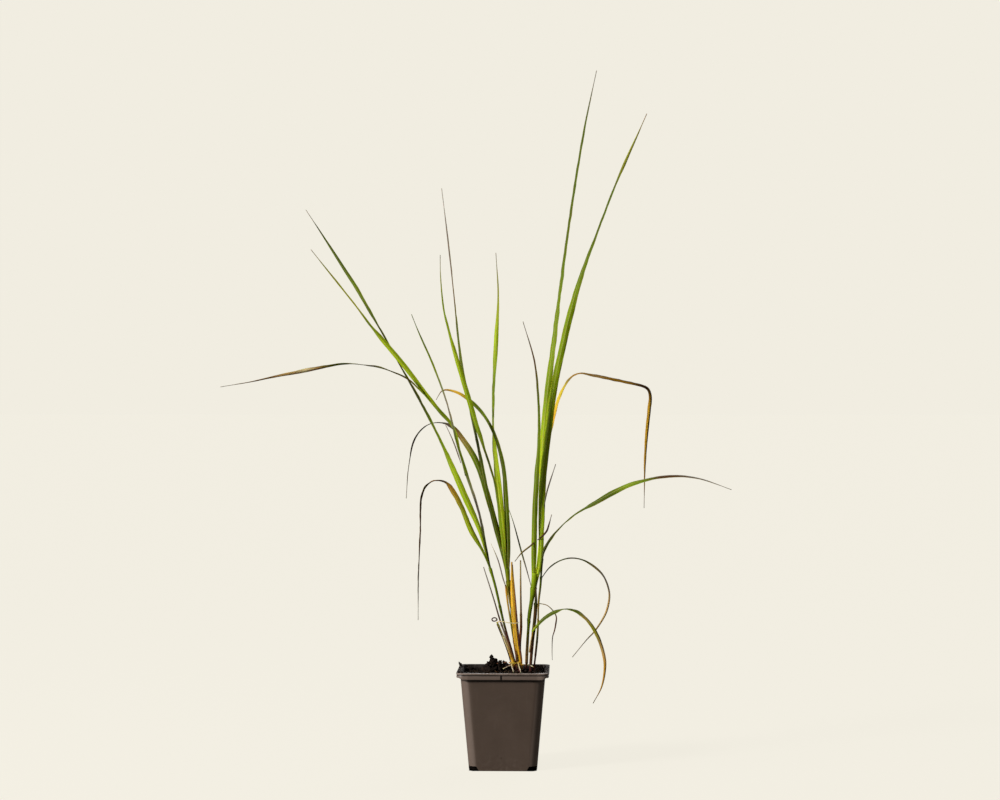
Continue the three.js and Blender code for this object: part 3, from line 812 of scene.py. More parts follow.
def piece_from(name: str, surface: Surface, material: Material, slot: Slot,
               nodes: Sequence[str] = (), crease: Optional[float] = None) -> Piece:
    """Puts a surface into the scene as a piece that rides on the object's body.

    Args:
        name: The piece's name.
        surface: Its points and faces.
        material: Its finish.
        slot: The record's slot of the finish. It is not used.
        nodes: The construction's nodes that it stands for.
        crease: The angle in degrees past which an edge is sharp, if any edge is.

    Returns:
        The piece.
    """
    mesh = bpy.data.meshes.new(name)
    quads, triangles = surface.quads, surface.triangles
    corners = np.concatenate([quads.ravel(), triangles.ravel()]).astype(np.int32)
    starts = np.concatenate([np.arange(len(quads)) * 4, len(quads) * 4 + np.arange(len(triangles)) * 3])
    mesh.vertices.add(len(surface.points))
    mesh.vertices.foreach_set("co", surface.points.astype(np.float32).ravel())
    mesh.loops.add(len(corners))
    mesh.loops.foreach_set("vertex_index", corners)
    mesh.polygons.add(len(starts))
    mesh.polygons.foreach_set("loop_start", starts.astype(np.int32))
    mesh.polygons.foreach_set("use_smooth", np.ones(len(starts), bool))
    layer = mesh.uv_layers.new(name="surface")
    layer.data.foreach_set("uv", surface.uv[corners].astype(np.float32).ravel())
    mesh.update(calc_edges=True)
    mesh.validate()
    if crease is not None:
        mesh.set_sharp_from_angle(angle=math.radians(crease))
    mesh.materials.append(material)
    piece = placed(name, mesh)
    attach(piece, BODY)
    if nodes:
        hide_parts(*nodes)
    LOG.info("%s: %d points, %d faces", name, len(surface.points), len(starts))
    return piece


def unit(vectors: Array) -> Array:
    """Vectors at length 1."""
    return vectors / np.linalg.norm(vectors, axis=-1, keepdims=True)


def smooth(share: Array) -> Array:
    """The share eased at both ends: three times its square less twice its cube."""
    held = np.clip(share, 0.0, 1.0)
    return held * held * (3 - 2 * held)


def waves(place: Array, seed: int, scale: float, layers: int) -> Array:
    """Smooth noise from about -1 to 1: sines of the place along random directions, each layer twice as fine.

    Args:
        place: Points as (..., k).
        seed: Which noise it is.
        scale: Waves for each unit of the place in the coarsest layer.
        layers: How many layers are summed.

    Returns:
        The noise at each point.
    """
    random = np.random.default_rng(seed)
    directions_in_layer = 7
    strength, fading = 1.9, 0.55
    total = np.zeros(place.shape[:-1])
    for layer in range(layers):
        directions = unit(random.normal(size=(directions_in_layer, place.shape[-1])))
        stretch = random.uniform(0.75, 1.35, directions_in_layer)
        phase = random.uniform(0.0, FULL_TURN, directions_in_layer)
        turns = place @ (directions * stretch[:, None]).T * (FULL_TURN * scale * 2 ** layer) + phase
        total += np.sin(turns).mean(-1) * strength * fading ** layer
    return total


@dataclass
class Path:
    """A smooth line: points, directions, the share of the length at each, and a value eased along it."""

    points: Array
    tangents: Array
    shares: Array
    values: Array
    length: float
    knot_shares: Array

    @staticmethod
    def through(route: Sequence[Sequence[float]], spacing: float) -> "Path":
        """A centripetal Catmull-Rom line through a route.

        Between two points, the place is the cubic whose slopes at the ends come from the neighbours, with
        the square root of each distance as its time. The value goes from point to point by a smooth step.

        Args:
            route: Points as (x, y, z, value), in millimetres.
            spacing: The distance between samples, in millimetres.

        Returns:
            The line, in metres.
        """
        table = np.array([row[:4] for row in route], float)
        knots = table[:, :3] * MM
        padded = np.concatenate([[2 * knots[0] - knots[1]], knots, [2 * knots[-1] - knots[-2]]])
        gaps = np.linalg.norm(np.diff(knots, axis=0), axis=1)
        counts = np.maximum(2, np.round(gaps / (spacing * MM)).astype(int))
        span = np.append(np.repeat(np.arange(len(gaps)), counts), len(gaps) - 1)
        starts = np.repeat(np.cumsum(counts) - counts, counts)
        share = np.append((np.arange(len(starts)) - starts) / np.repeat(counts, counts), 1.0)
        times = np.sqrt(np.linalg.norm(np.diff(padded, axis=0), axis=1))
        before, during, after = (times[span + k][:, None] for k in range(3))
        p0, p1, p2, p3 = (padded[span + k] for k in range(4))
        slope1 = ((p1 - p0) / before - (p2 - p0) / (before + during) + (p2 - p1) / during) * during
        slope2 = ((p2 - p1) / during - (p3 - p1) / (during + after) + (p3 - p2) / after) * during
        square = -3 * p1 + 3 * p2 - 2 * slope1 - slope2
        cube = 2 * p1 - 2 * p2 + slope1 + slope2
        t = share[:, None]
        points = p1 + slope1 * t + square * t ** 2 + cube * t ** 3
        tangents = unit(slope1 + 2 * square * t + 3 * cube * t ** 2)
        run = np.concatenate([[0.0], np.cumsum(np.linalg.norm(np.diff(points, axis=0), axis=1))])
        eased = table[span, 3] + (table[span + 1, 3] - table[span, 3]) * smooth(share)
        knot_rows = np.append(np.cumsum(counts) - counts, len(points) - 1)
        return Path(points, tangents, run / run[-1], eased, float(run[-1]), run[knot_rows] / run[-1])

    def sides(self) -> tuple[Array, Array]:
        """Two directions square to the line at each of its points."""
        side = unit(np.cross(BACK, self.tangents))
        return side, np.cross(self.tangents, side)

    def read(self, table: Array, shares: Array) -> Array:
        """A table with three numbers for each point of the line, read at other shares of its length."""
        return np.stack([np.interp(shares, self.shares, table[:, k]) for k in range(3)], -1)


Route = tuple[tuple[float, float, float, float, Tint], ...]

LEAF_SPACING = 2.2
LEAF_COLUMNS = 16
STEM_SPACING = 2.0
STEM_SIDES = 20


class Growth:
    """What leaves and stems share: a line through their route, a skin and a piece of their own name."""

    name: str
    route: Route
    skin: LeafSkin
    spacing: ClassVar[float] = STEM_SPACING
    dry_and_shade_tint: ClassVar[Tint] = Tint.AMBER

    def build(self, shoot: str, slot: Slot) -> Piece:
        """Makes the leaf or stem and dresses it.

        Args:
            shoot: The node of the shoot that it belongs to.
            slot: The record's slot of the shoot.

        Returns:
            The piece.
        """
        path = Path.through(self.route, self.spacing)
        stops = [(float(share), row[4]) for share, row in zip(path.knot_shares, self.route)]
        material = self.skin.material(f"skin_{self.name}", stops, path.length, self.dry_and_shade_tint)
        return piece_from(self.name, self.surface(path), material, slot, (shoot,))


@dataclass(frozen=True)
class Blade(Growth):
    """One leaf: its name, its full width, and a route of (x, y, z, turn, tint) from its sheath to its tip.

    The turn is how many degrees its face is turned towards the left.
    """

    name: str
    width: float
    route: Route
    base: float = 0.3
    full_at: float = 0.2
    taper_from: float = 0.42
    taper_power: float = 2.0
    fold: float = 0.2
    flat_fold: float = 0.3
    bulge: float = 0.035
    tip: float = 0.75
    thickness: float = 0.34
    ribs: int = 8
    rib_rise: float = 0.03
    keel_rise: float = 0.22
    keel_half: float = 0.06
    crinkle: float = 0.0
    least_crinkle: float = 0.05
    crinkle_length: float = 28.0
    skin: LeafSkin = FRESH_LEAF
    dry_and_shade_tint: Tint = Tint.AMBER
    spacing: ClassVar[float] = LEAF_SPACING

    def surface(self, path: Path) -> Surface:
        """The leaf as a thin folded body.

        Along the leaf the width opens from its sheath by a smooth step and then tapers by a power of what
        is left. Across it, the middle stands forward of the edges as a fold, which is flatter where the leaf
        is turned. Each half bulges a little, the ribs are a cosine of the place across, and a keel runs
        behind the midrib. The two faces meet in the sharp edges. Wavy edges are noise that grows from the
        middle outwards. Where the leaf is narrow, it is thinner and its ribs are lower.

        Args:
            path: The leaf's line, whose values are the turn in degrees.

        Returns:
            The surface, with U across and V along.
        """
        share = path.shares
        opening = self.base + (1 - self.base) * smooth(share / self.full_at)
        left = np.clip((share - self.taper_from) / (1 - self.taper_from), 0.0, 1.0)
        wide = np.maximum(self.tip, self.width * opening * (1 - left ** self.taper_power)) * MM
        flat = unit(np.cross(BACK, path.tangents))
        facing = np.cross(flat, path.tangents)
        angle = np.radians(path.values)[:, None]
        across = flat * np.cos(angle) + facing * np.sin(angle)
        normal = np.cross(across, path.tangents)
        top = 0.5 * np.sin(np.linspace(-math.pi / 2, math.pi / 2, LEAF_COLUMNS + 1))
        place = np.concatenate([top, top[-2:0:-1]])
        side = np.concatenate([np.ones(LEAF_COLUMNS + 1), -np.ones(LEAF_COLUMNS - 1)])
        reach = np.abs(2 * place)
        width = wide[:, None]
        thin, narrow = (np.minimum(1.0, width / (limit * MM)) for limit in (1.2, 3.0))
        seen_fold = self.flat_fold + (1 - self.flat_fold) * np.cos(angle)
        folded = self.fold * (0.5 - reach) * seen_fold + self.bulge * np.sin(math.pi * reach)
        half = 0.5 * self.thickness * MM * np.sqrt(1 - reach ** 2) * thin
        ribs = self.rib_rise * MM * np.cos(FULL_TURN * self.ribs * place) * (1 - reach) * narrow
        keel = self.keel_rise * MM * np.exp(-(place / self.keel_half) ** 2) * narrow
        grid = paired(share[:, None] * path.length / (self.crinkle_length * MM), place[None, :] * 1.6)
        depth = reach * width * (self.least_crinkle + self.crinkle)
        wave = waves(grid, sum(map(ord, self.name)), 1.0, 3) * depth
        lift = folded * width + wave + side * (half + ribs) + (side > 0) * keel
        rings = (path.points[:, None] + across[:, None] * (place * width)[..., None]
                 + normal[:, None] * lift[..., None])
        return tube(rings, paired(place[None, :] + 0.5, share[:, None]))


@dataclass(frozen=True)
class Sheath:
    """A leaf sheath round a stem, from one share of its length to another, with a ragged flared mouth."""

    start: float
    end: float
    stand_off: float = 0.22
    flare: float = 0.35
    flare_power: int = 12
    inner_flare: float = 0.7
    gap: float = 0.02
    ragged: float = 0.012
    steps: int = 22

    def surface(self, path: Path, seed: int) -> Surface:
        """The sheath as a closed thin sleeve.

        Its outside runs up the stem and its inside runs down again, so the grid wraps both ways. The mouth's
        height wanders round the stem, and it opens outwards over the last part.

        Args:
            path: The stem's line, whose values are its radius in millimetres.
            seed: Which ragged mouth it gets.

        Returns:
            The surface, with U round the stem and V along it.
        """
        rise = np.linspace(0.0, 1.0, self.steps)
        up = np.concatenate([rise, rise[::-1]])[:, None]
        outside = np.concatenate([np.ones(self.steps), np.zeros(self.steps)])[:, None]
        theta = angles_round(STEM_SIDES)
        mouth = waves(paired(np.cos(theta), np.sin(theta)) * 1.3, seed, 0.8, 3) * self.ragged
        row = np.clip(self.start + (self.end - self.start + mouth[None, :]) * up, 0.0, 1.0)
        open_mouth = self.flare * up ** self.flare_power
        outer, inner = self.stand_off + open_mouth, self.inner_flare * open_mouth
        wall = self.gap + outer * outside + inner * (1 - outside)
        reach = (np.interp(row, path.shares, path.values) + wall) * MM
        sides = [path.read(side, row) for side in path.sides()]
        points = ring_points(path.read(path.points, row), sides, reach, theta)
        uv = paired(theta[None, :] / FULL_TURN, row)
        faces = lattice(len(up), STEM_SIDES, wrap_rows=True, wrap_columns=True)
        return Surface(points.reshape(-1, 3), faces, NO_TRIANGLES, uv.reshape(-1, 2))


@dataclass(frozen=True)
class Culm(Growth):
    """A stem: a route of (x, y, z, radius, tint), its nodes as shares of its length, and its sheaths."""

    name: str
    route: Route
    joints: tuple[float, ...] = ()
    sheaths: tuple[Sheath, ...] = ()
    skin: LeafSkin = CULM_SKIN
    ribs: int = 7
    rib_share: float = 0.03
    joint_rise: float = 0.32
    joint_half: float = 1.3

    def surface(self, path: Path) -> Surface:
        """The stem as a round body with fine ribs, thickened at each node.

        The radius is the route's, times a rib term that is a cosine round the stem, plus a bell curve of the
        distance to each node.

        Args:
            path: The stem's line, whose values are its radius in millimetres.

        Returns:
            The stem and its sheaths, with U round it and V along it.
        """
        theta = angles_round(STEM_SIDES)
        radius = path.values[:, None] * (1 + self.rib_share * np.cos(self.ribs * theta)[None, :])
        for joint in self.joints:
            away = (path.shares - joint) * path.length / (self.joint_half * MM)
            radius = radius + self.joint_rise * np.exp(-away ** 2)[:, None]
        sides = [side[:, None] for side in path.sides()]
        rings = ring_points(path.points[:, None], sides, radius * MM, theta)
        stem = tube(rings, paired(theta[None, :] / FULL_TURN, path.shares[:, None]))
        seed = sum(map(ord, self.name))
        sleeves = [sheath.surface(path, seed + i) for i, sheath in enumerate(self.sheaths)]
        return Surface.joined([stem, *sleeves])


@dataclass(frozen=True)
class Shoot:
    """One leafy or dead shoot: the node that it stands for, its slot, its stems and its leaves."""

    node: str
    slot: Slot
    culms: tuple[Culm, ...]
    blades: tuple[Blade, ...] = ()

    def build(self) -> list[Piece]:
        """Makes every stem and leaf of the shoot.

        Returns:
            The pieces.
        """
        stems = [culm.build(self.node, self.slot) for culm in self.culms]
        return stems + [blade.build(self.node, self.slot) for blade in self.blades]


(LIME, BRIGHT, FRESH, GREEN, DEEP, DARK, INK, OLIVE, GOLD, AMBER, KHAKI, YELLOW, HONEY, TAN, STRAW, CREAM,
 RUST, MAROON, UMBER, ASH, GREY, *_) = Tint

ROOT_END = 66.4
COLLAR = 92.0
CROWN = 98.0


def rooted(x: float, y: float, radius: float, *above: tuple[float, float, float, float, Tint]) -> Route:
    """A stem's route with its straight buried end.

    Args:
        x: Where it leaves the compost, across.
        y: Where it leaves the compost, in depth.
        radius: Its radius there.
        above: The rest of its route.

    Returns:
        The whole route.
    """
    return tuple((x, y, z, radius, MAROON) for z in (ROOT_END, COLLAR, CROWN)) + above


SHOOT_LEFT = Shoot("shoot_left", Slot.GREEN, (
    Culm("left_culm", rooted(11, 7, 1.1, (9.6, 7, 106, 0.85, UMBER), (2.8, 6.5, 130, 0.85, MAROON),
                             (-1.5, 6, 146.5, 0.9, DARK), (-8.7, 6, 178, 1, DEEP),
                             (-16, 6, 202.5, 1.2, GREEN)),
         joints=(0.36, 0.62), sheaths=(Sheath(0.25, 0.66), Sheath(0.62, 0.93))),
), (
    Blade("left_tall_leaf", 6.5, (
        (-13, 6, 193, 0, DARK), (-24, 8, 232, 0, BRIGHT), (-37, 12, 261, 10, FRESH),
        (-50.2, 15, 290.5, 30, FRESH), (-62.6, 18, 318.2, 66, DEEP), (-83.6, 22, 359.2, 62, INK),
        (-108, 28, 402, 78, INK), (-122, 32, 427, 72, INK), (-137.5, 36, 453, 52, DARK),
        (-149, 39, 473, 30, DEEP), (-161.9, 42, 492.9, 15, DARK), (-175.7, 46, 514.1, 20, DARK),
        (-189.3, 50, 534.8, 20, INK), (-201, 54, 552, 40, GREY))),
    Blade("left_twin_leaf", 5.0, (
        (-37.7, 1, 285.8, 40, DARK), (-43, 1, 308, 50, FRESH), (-50, 0, 333.5, 55, GREEN),
        (-63.5, -3, 349.8, 40, DEEP), (-75.8, -6, 365.3, 35, BRIGHT), (-99, -11, 396, 10, BRIGHT),
        (-116.5, -15, 417, 15, BRIGHT), (-130.7, -18, 434, 58, DEEP), (-143, -21, 451, 62, OLIVE),
        (-174.3, -28, 490.8, 30, OLIVE), (-187, -31, 507, 30, GREY))),
    Blade("left_reaching_leaf", 4.6, (
        (-68, -4, 355.5, 50, DARK), (-82.5, -9, 370.4, 68, GREEN), (-94, -13, 381, 74, UMBER),
        (-115.7, -20, 390.8, 74, OLIVE), (-142, -27, 395.5, 88, ASH), (-155, -31, 395.6, 76, GREEN),
        (-166.9, -34, 393.8, 62, OLIVE), (-179.8, -37, 391.2, 42, TAN), (-192.4, -40, 388.8, 15, STRAW),
        (-204.8, -43, 385.9, 38, TAN), (-217.9, -45, 383.5, 45, TAN), (-243, -49, 378, 74, RUST),
        (-272.5, -52, 373, 50, GREY)), crinkle=0.04),
    Blade("left_upright_leaf", 5.0, (
        (-13.5, 6, 195, 0, DARK), (-18.5, 4, 220, 50, DARK), (-24.5, 2, 249, 60, GREY),
        (-37.5, 0, 290, 54, DARK), (-47, -6, 323, 60, DARK), (-55, -14, 356.5, 70, GREY),
        (-67.5, -28, 393, 50, GREEN), (-81.5, -44, 427, 15, GREEN), (-87.5, -52, 443, 30, DARK))),
    Blade("left_drooping_leaf", 5.4, (
        (-12, 6, 191, 0, DARK), (-20, 2, 210, 30, GREEN), (-32, -6, 232, 20, BRIGHT),
        (-41.5, -13, 256, 30, OLIVE), (-50.7, -19, 273.5, 20, HONEY), (-56.3, -22, 280.3, 64, AMBER),
        (-66.5, -27, 282, 86, RUST), (-74.5, -31, 277, 74, UMBER), (-78.7, -33, 267, 76, UMBER),
        (-80, -36, 229.5, 76, RUST), (-81.7, -37, 191, 74, GREY), (-81.9, -38, 147, 60, ASH)), crinkle=0.05),
    Blade("left_thin_leaf", 1.3, (
        (-42.1, -2, 298.5, 0, GREY), (-48.4, 3, 316, 0, GREY), (-52.8, 6, 326, 0, ASH),
        (-58.2, 9, 337, 0, ASH)), skin=DRY_LEAF),
))

SHOOT_MIDDLE = Shoot("shoot_middle", Slot.GREEN, (
    Culm("middle_culm", rooted(15.5, 5, 1, (14.4, 5, 112, 1, UMBER), (9, 5, 147.5, 1, INK),
                               (5.5, 4.5, 166.5, 1.1, KHAKI), (4.5, 4, 178.5, 1.8, OLIVE),
                               (3.4, 4, 194, 2.4, DEEP)),
         joints=(0.3, 0.58), sheaths=(Sheath(0.27, 0.6), Sheath(0.56, 0.9))),
), (
    Blade("middle_arching_leaf", 5.2, (
        (4.4, 4, 178, 0, OLIVE), (4.2, 2, 216.7, 20, DARK), (2.3, 0, 261.5, 20, DEEP),
        (-0.6, 0, 294.3, 38, DARK), (-7.9, 2, 322.6, 52, DARK), (-20, 6, 345.5, 45, DEEP),
        (-34, 10, 359.9, 20, DEEP), (-47.4, 13, 368.2, 10, GOLD), (-60.7, 15, 369.8, 25, HONEY),
        (-67.5, 16, 360.5, 50, GREY)), taper_power=3.4),
    Blade("middle_bright_leaf", 6.5, (
        (4, 5, 184, 0, GREEN), (1, 6, 216, 0, LIME), (-2, 9, 242, 5, LIME), (-5.3, 13, 272.5, 10, LIME),
        (-10, 20, 313, 50, BRIGHT), (-11.3, 24, 333.5, 75, GREEN), (-11, 32, 375.5, 60, DEEP),
        (-8.8, 41, 421.5, 20, BRIGHT), (-7, 50, 466, 50, OLIVE), (-9.5, 58, 508.5, 30, GREY))),
    Blade("middle_front_leaf", 5.5, (
        (3.7, 3, 184, 0, GREEN), (-2.6, 0, 232.5, 50, GREEN), (-8.5, -3, 278, 66, DARK),
        (-17.1, -6, 306.2, 66, INK), (-26.1, -9, 334.5, 40, GREEN), (-34.9, -14, 364.6, 15, FRESH),
        (-45.9, -21, 402.1, 20, BRIGHT), (-53.7, -28, 431.3, 50, GREEN), (-57.7, -33, 450, 50, GREEN),
        (-60, -42, 481, 40, OLIVE), (-60, -48, 500.5, 30, GREY))),
    Blade("middle_long_leaf", 4.4, (
        (4.2, 5, 182, 0, DEEP), (-3.3, 7, 215.5, 20, DARK), (-15.3, 5, 261.7, 30, DARK),
        (-20, 6, 286, 30, DARK), (-25.5, 9, 314, 50, INK), (-32, 14, 344, 50, DARK),
        (-41.1, 22, 385.9, 40, DARK), (-46.5, 31, 423.1, 55, DARK), (-51, 42, 465.5, 75, UMBER),
        (-60, 62, 538, 30, GREY), (-65, 73, 575, 20, ASH))),
    Blade("middle_olive_leaf", 6.0, (
        (4.4, 4, 180, 0, OLIVE), (-0.5, 6, 206, 10, DARK), (-7, 10, 232, 15, DEEP),
        (-15.1, 14, 260.5, 20, DEEP), (-22.5, 18, 285.5, 15, DARK), (-30.5, 21, 304.5, 10, DEEP),
        (-40.7, 24, 320, 20, KHAKI), (-51.2, 27, 332.7, 40, UMBER), (-63.5, 30, 337.8, 84, GREY),
        (-75, 32, 336.5, 88, GREY), (-84.9, 34, 328.8, 76, INK), (-90.5, 35, 319.5, 66, UMBER),
        (-96, 37, 294.5, 80, GREY), (-98.5, 38, 262, 40, ASH))),
))

SHOOT_RIGHT = Shoot("shoot_right", Slot.GREEN, (
    Culm("right_culm", rooted(22.5, 2, 1.2, (22.6, 2, 106, 1.3, TAN), (23.3, 2, 120, 1.2, KHAKI),
                              (24.2, 2, 135, 1.1, GREEN), (25.4, 2, 150, 1.6, DEEP),
                              (27.1, 1.5, 160.5, 1.7, DEEP), (29.6, 1, 177, 2.9, GREEN),
                              (30.8, 1, 190, 3.2, FRESH)),
         joints=(0.35, 0.6), sheaths=(Sheath(0.28, 0.62), Sheath(0.58, 0.88))),
), (
    Blade("right_broad_leaf", 5.5, (
        (29.3, 0, 176, 0, FRESH), (29.7, -2, 207, 10, GREEN), (30.7, -5, 252.5, 16, DEEP),
        (32.2, -8, 282, 28, DEEP), (34.6, -12, 321, 56, DEEP), (34.4, -18, 356.5, 61, DARK),
        (30.7, -26, 397.5, 55, UMBER), (19.7, -34, 436.5, 20, GREY)), base=0.6, full_at=0.14),
    Blade("right_tallest_leaf", 6.5, (
        (30.4, 1, 178, 0, LIME), (34.2, 3, 198, 10, LIME), (37.2, 6, 237, 20, LIME),
        (37.7, 10, 281.5, 20, LIME), (38.6, 13, 321, 20, BRIGHT), (42.8, 18, 366.5, 12, GREEN),
        (48.2, 25, 412, 38, GREEN), (54.8, 35, 467, 58, DEEP), (62.4, 46, 525, 64, DARK),
        (70.4, 57, 579.1, 60, DARK), (80.3, 69, 638.1, 45, DARK),
        (92, 80, 694.5, 20, GREY)), base=0.6, taper_power=2.4, fold=0.14),
    Blade("right_leaning_leaf", 7.0, (
        (31, 0, 178, 0, LIME), (36.2, -1, 203, 12, FRESH), (37, -1, 237.5, 14, FRESH),
        (38.4, -3, 282, 10, FRESH), (43.4, -6, 327, 10, FRESH), (49.6, -11, 373, 12, FRESH),
        (56.7, -16, 407.2, 20, GREEN), (65, -22, 442.2, 15, GREEN), (75.9, -29, 480.7, 48, DEEP),
        (90.6, -37, 520.2, 70, DARK), (109.5, -46, 569, 62, DARK), (120.6, -51, 594.2, 10, OLIVE),
        (129.8, -55, 614.3, 10, OLIVE), (139, -59, 635, 30, RUST)), base=0.5, taper_power=2.6, fold=0.17),
    Blade("right_kinked_leaf", 4.5, (
        (42.7, -5, 314, 20, FRESH), (45.6, 0, 331, 20, YELLOW), (48.5, 5, 343, 30, GOLD),
        (53.7, 12, 361.5, 50, YELLOW), (57.3, 16, 370, 55, YELLOW), (63.4, 20, 380, 58, KHAKI),
        (68.5, 23, 384.7, 74, AMBER), (76.2, 27, 387, 72, AMBER), (89.2, 33, 384.7, 52, TAN),
        (105.6, 40, 381.9, 50, AMBER), (122, 46, 378.1, 50, AMBER), (136.1, 51, 375.3, 50, UMBER),
        (142.6, 53, 372.2, 52, UMBER), (145.8, 54, 364.5, 42, AMBER), (145.1, 54, 353.4, 30, GOLD),
        (142.5, 54, 330.3, 20, GOLD), (140.5, 53, 300, 35, HONEY), (139.8, 52.4, 274, 50, AMBER),
        (139.4, 52, 252, 40, GREY)),
          base=0.75, full_at=0.08, taper_power=2.6, skin=SPLIT_LEAF, dry_and_shade_tint=UMBER, crinkle=0.04),
    Blade("right_thin_leaf", 1.5, (
        (39.4, -2, 254.5, 0, DEEP), (42.5, -6, 270, 0, GREY), (51.3, -12, 297.7, 0, GREY)), skin=DRY_LEAF),
    Blade("right_dry_strand", 1.6, (
        (31.5, -1.2, 222.5, 0, OLIVE), (29.5, -3.8, 220, 0, UMBER), (26.5, -6, 217.3, 0, KHAKI),
        (17.5, -11, 210.2, 0, KHAKI), (11.3, -14, 202.4, 0, GREY)), base=1.0, skin=DRY_LEAF),
    Blade("right_dry_tip", 1.8, (
        (33.2, -1.4, 222.8, 0, UMBER), (37.2, -4.4, 225.8, 0, MAROON), (42.4, -6, 231.8, 0, MAROON),
        (44.2, -8, 236.8, 0, UMBER), (47.3, -11, 248.3, 0, ASH)), skin=DRY_LEAF),
    Blade("right_slender_leaf", 1.6, (
        (28.6, 2, 171, 0, GREY), (22.6, 5, 192.8, 0, GREY), (17.6, 8, 209.6, 0, DARK),
        (8.8, 12, 241, 0, DEEP), (4.4, 14, 253, 0, GREEN)), base=0.4, full_at=0.5, tip=0.6, skin=DRY_LEAF),
))

SHOOT_OUTER = Shoot("shoot_outer", Slot.OLIVE, (
    Culm("outer_culm", rooted(30, 3, 0.9, (30.8, 3, 105, 0.9, MAROON), (33, 2, 126, 0.9, INK),
                              (33.9, 1, 143, 0.8, KHAKI), (34.3, -1, 160.7, 0.8, KHAKI),
                              (36.3, -4, 178.7, 0.9, DARK), (37.4, -9, 196.5, 1, INK),
                              (38.4, -11.5, 205, 1, INK)),
         joints=(0.4, 0.66), sheaths=(Sheath(0.3, 0.56, 0.15, 0.2), Sheath(0.66, 0.86, 0.15, 0.25))),
    Culm("outer_dry_thread", (
        (34.3, -0.8, 160.5, 0.4, OLIVE), (42.5, 1, 158.5, 0.4, AMBER), (48.4, 2, 153.2, 0.5, OLIVE),
        (51.8, 3, 147, 0.62, RUST), (51.4, 3, 140.8, 0.75, UMBER), (50.0, 3, 133.4, 0.62, RUST),
        (48.2, 3, 127.4, 0.5, GREY), (47.6, 3, 114.1, 0.36, GREY), (47.8, 3, 104.3, 0.25, ASH))),
), (
    Blade("outer_arching_leaf", 5.4, (
        (37.2, -8.4, 194, 0, DARK), (39.2, -13, 211.6, 30, INK), (46.1, -18, 224.6, 60, INK),
        (55.2, -23, 235.6, 82, INK), (70.6, -30, 249.5, 80, DARK), (89.3, -37, 260.9, 48, DARK),
        (104.7, -42, 269.8, 20, DARK), (120.3, -47, 277.7, 35, GREEN), (136, -51, 283, 52, DEEP),
        (151.6, -54, 286.2, 56, UMBER), (167.3, -57, 287.6, 52, UMBER), (190.3, -60, 284.8, 60, GREY),
        (219.9, -63, 274.6, 40, GREY))),
    Blade("outer_looping_leaf", 2.6, (
        (36.6, -5.5, 184.5, 0, DARK), (45.4, -3, 196.2, 40, INK), (57, 2, 203, 70, DARK),
        (67, 5, 204.8, 60, GREY), (77.2, 8, 203, 60, DARK), (89.3, 11, 195.9, 40, KHAKI),
        (98, 13, 187.1, 50, GREY), (103.1, 14, 175.4, 45, GREY), (104.3, 14, 165.5, 40, TAN),
        (101.4, 14, 152, 5, TAN), (98.2, 14, 145, 5, TAN), (89.6, 13, 132, 5, KHAKI),
        (81.5, 12, 123.4, 10, GREY), (67.5, 11, 106.4, 20, GREY))),
))

BROWN_SHOOT = Shoot("brown_shoot", Slot.BROWN, (
    Culm("brown_culm", rooted(26.5, -6, 1.25, (27, -6, 106, 1.25, UMBER), (28.3, -7, 121, 1.3, UMBER),
                              (29.8, -9, 136.9, 1.4, INK), (31.2, -10, 150.6, 1.5, UMBER),
                              (31.8, -11, 161.5, 1.4, INK), (31.9, -11.5, 176.3, 0.7, UMBER)),
         joints=(0.5, 0.82), sheaths=(Sheath(0.3, 0.62), Sheath(0.58, 0.86, 0.2, 0.5))),
), (
    Blade("low_arching_leaf", 4.0, (
        (28.1, -11.7, 133.5, 20, FRESH), (37.9, -13.8, 145, 30, DARK), (48.7, -18, 152.8, 40, DARK),
        (59.8, -23, 156.6, 80, DARK), (72.9, -28, 154.4, 50, DARK), (80.7, -31, 148.5, 40, KHAKI),
        (88.4, -34, 138.3, 35, OLIVE), (93.9, -36, 127.6, 25, KHAKI), (97.6, -37, 115.4, 10, TAN),
        (99.2, -37, 103.8, 0, AMBER), (96.1, -36, 83, 0, AMBER), (87.7, -34, 66.3, 20, UMBER)),
          base=0.5, full_at=0.12, crinkle=0.05),
    Blade("brown_pale_husk", 1.3, (
        (25.4, -9, 113, 0, TAN), (26.4, -9.4, 121, 0, STRAW), (28, -10, 129, 0, AMBER),
        (30.4, -10.8, 141, 0, HONEY)), base=1.0, skin=DRY_LEAF, dry_and_shade_tint=RUST),
    Blade("right_shed_straw", 1.4, (
        (23.8, -9.8, 101.2, 0, STRAW), (26.6, -7.2, 100, 0, CREAM),
        (29.6, -9.6, 98.8, 0, TAN)), skin=DRY_LEAF),
))

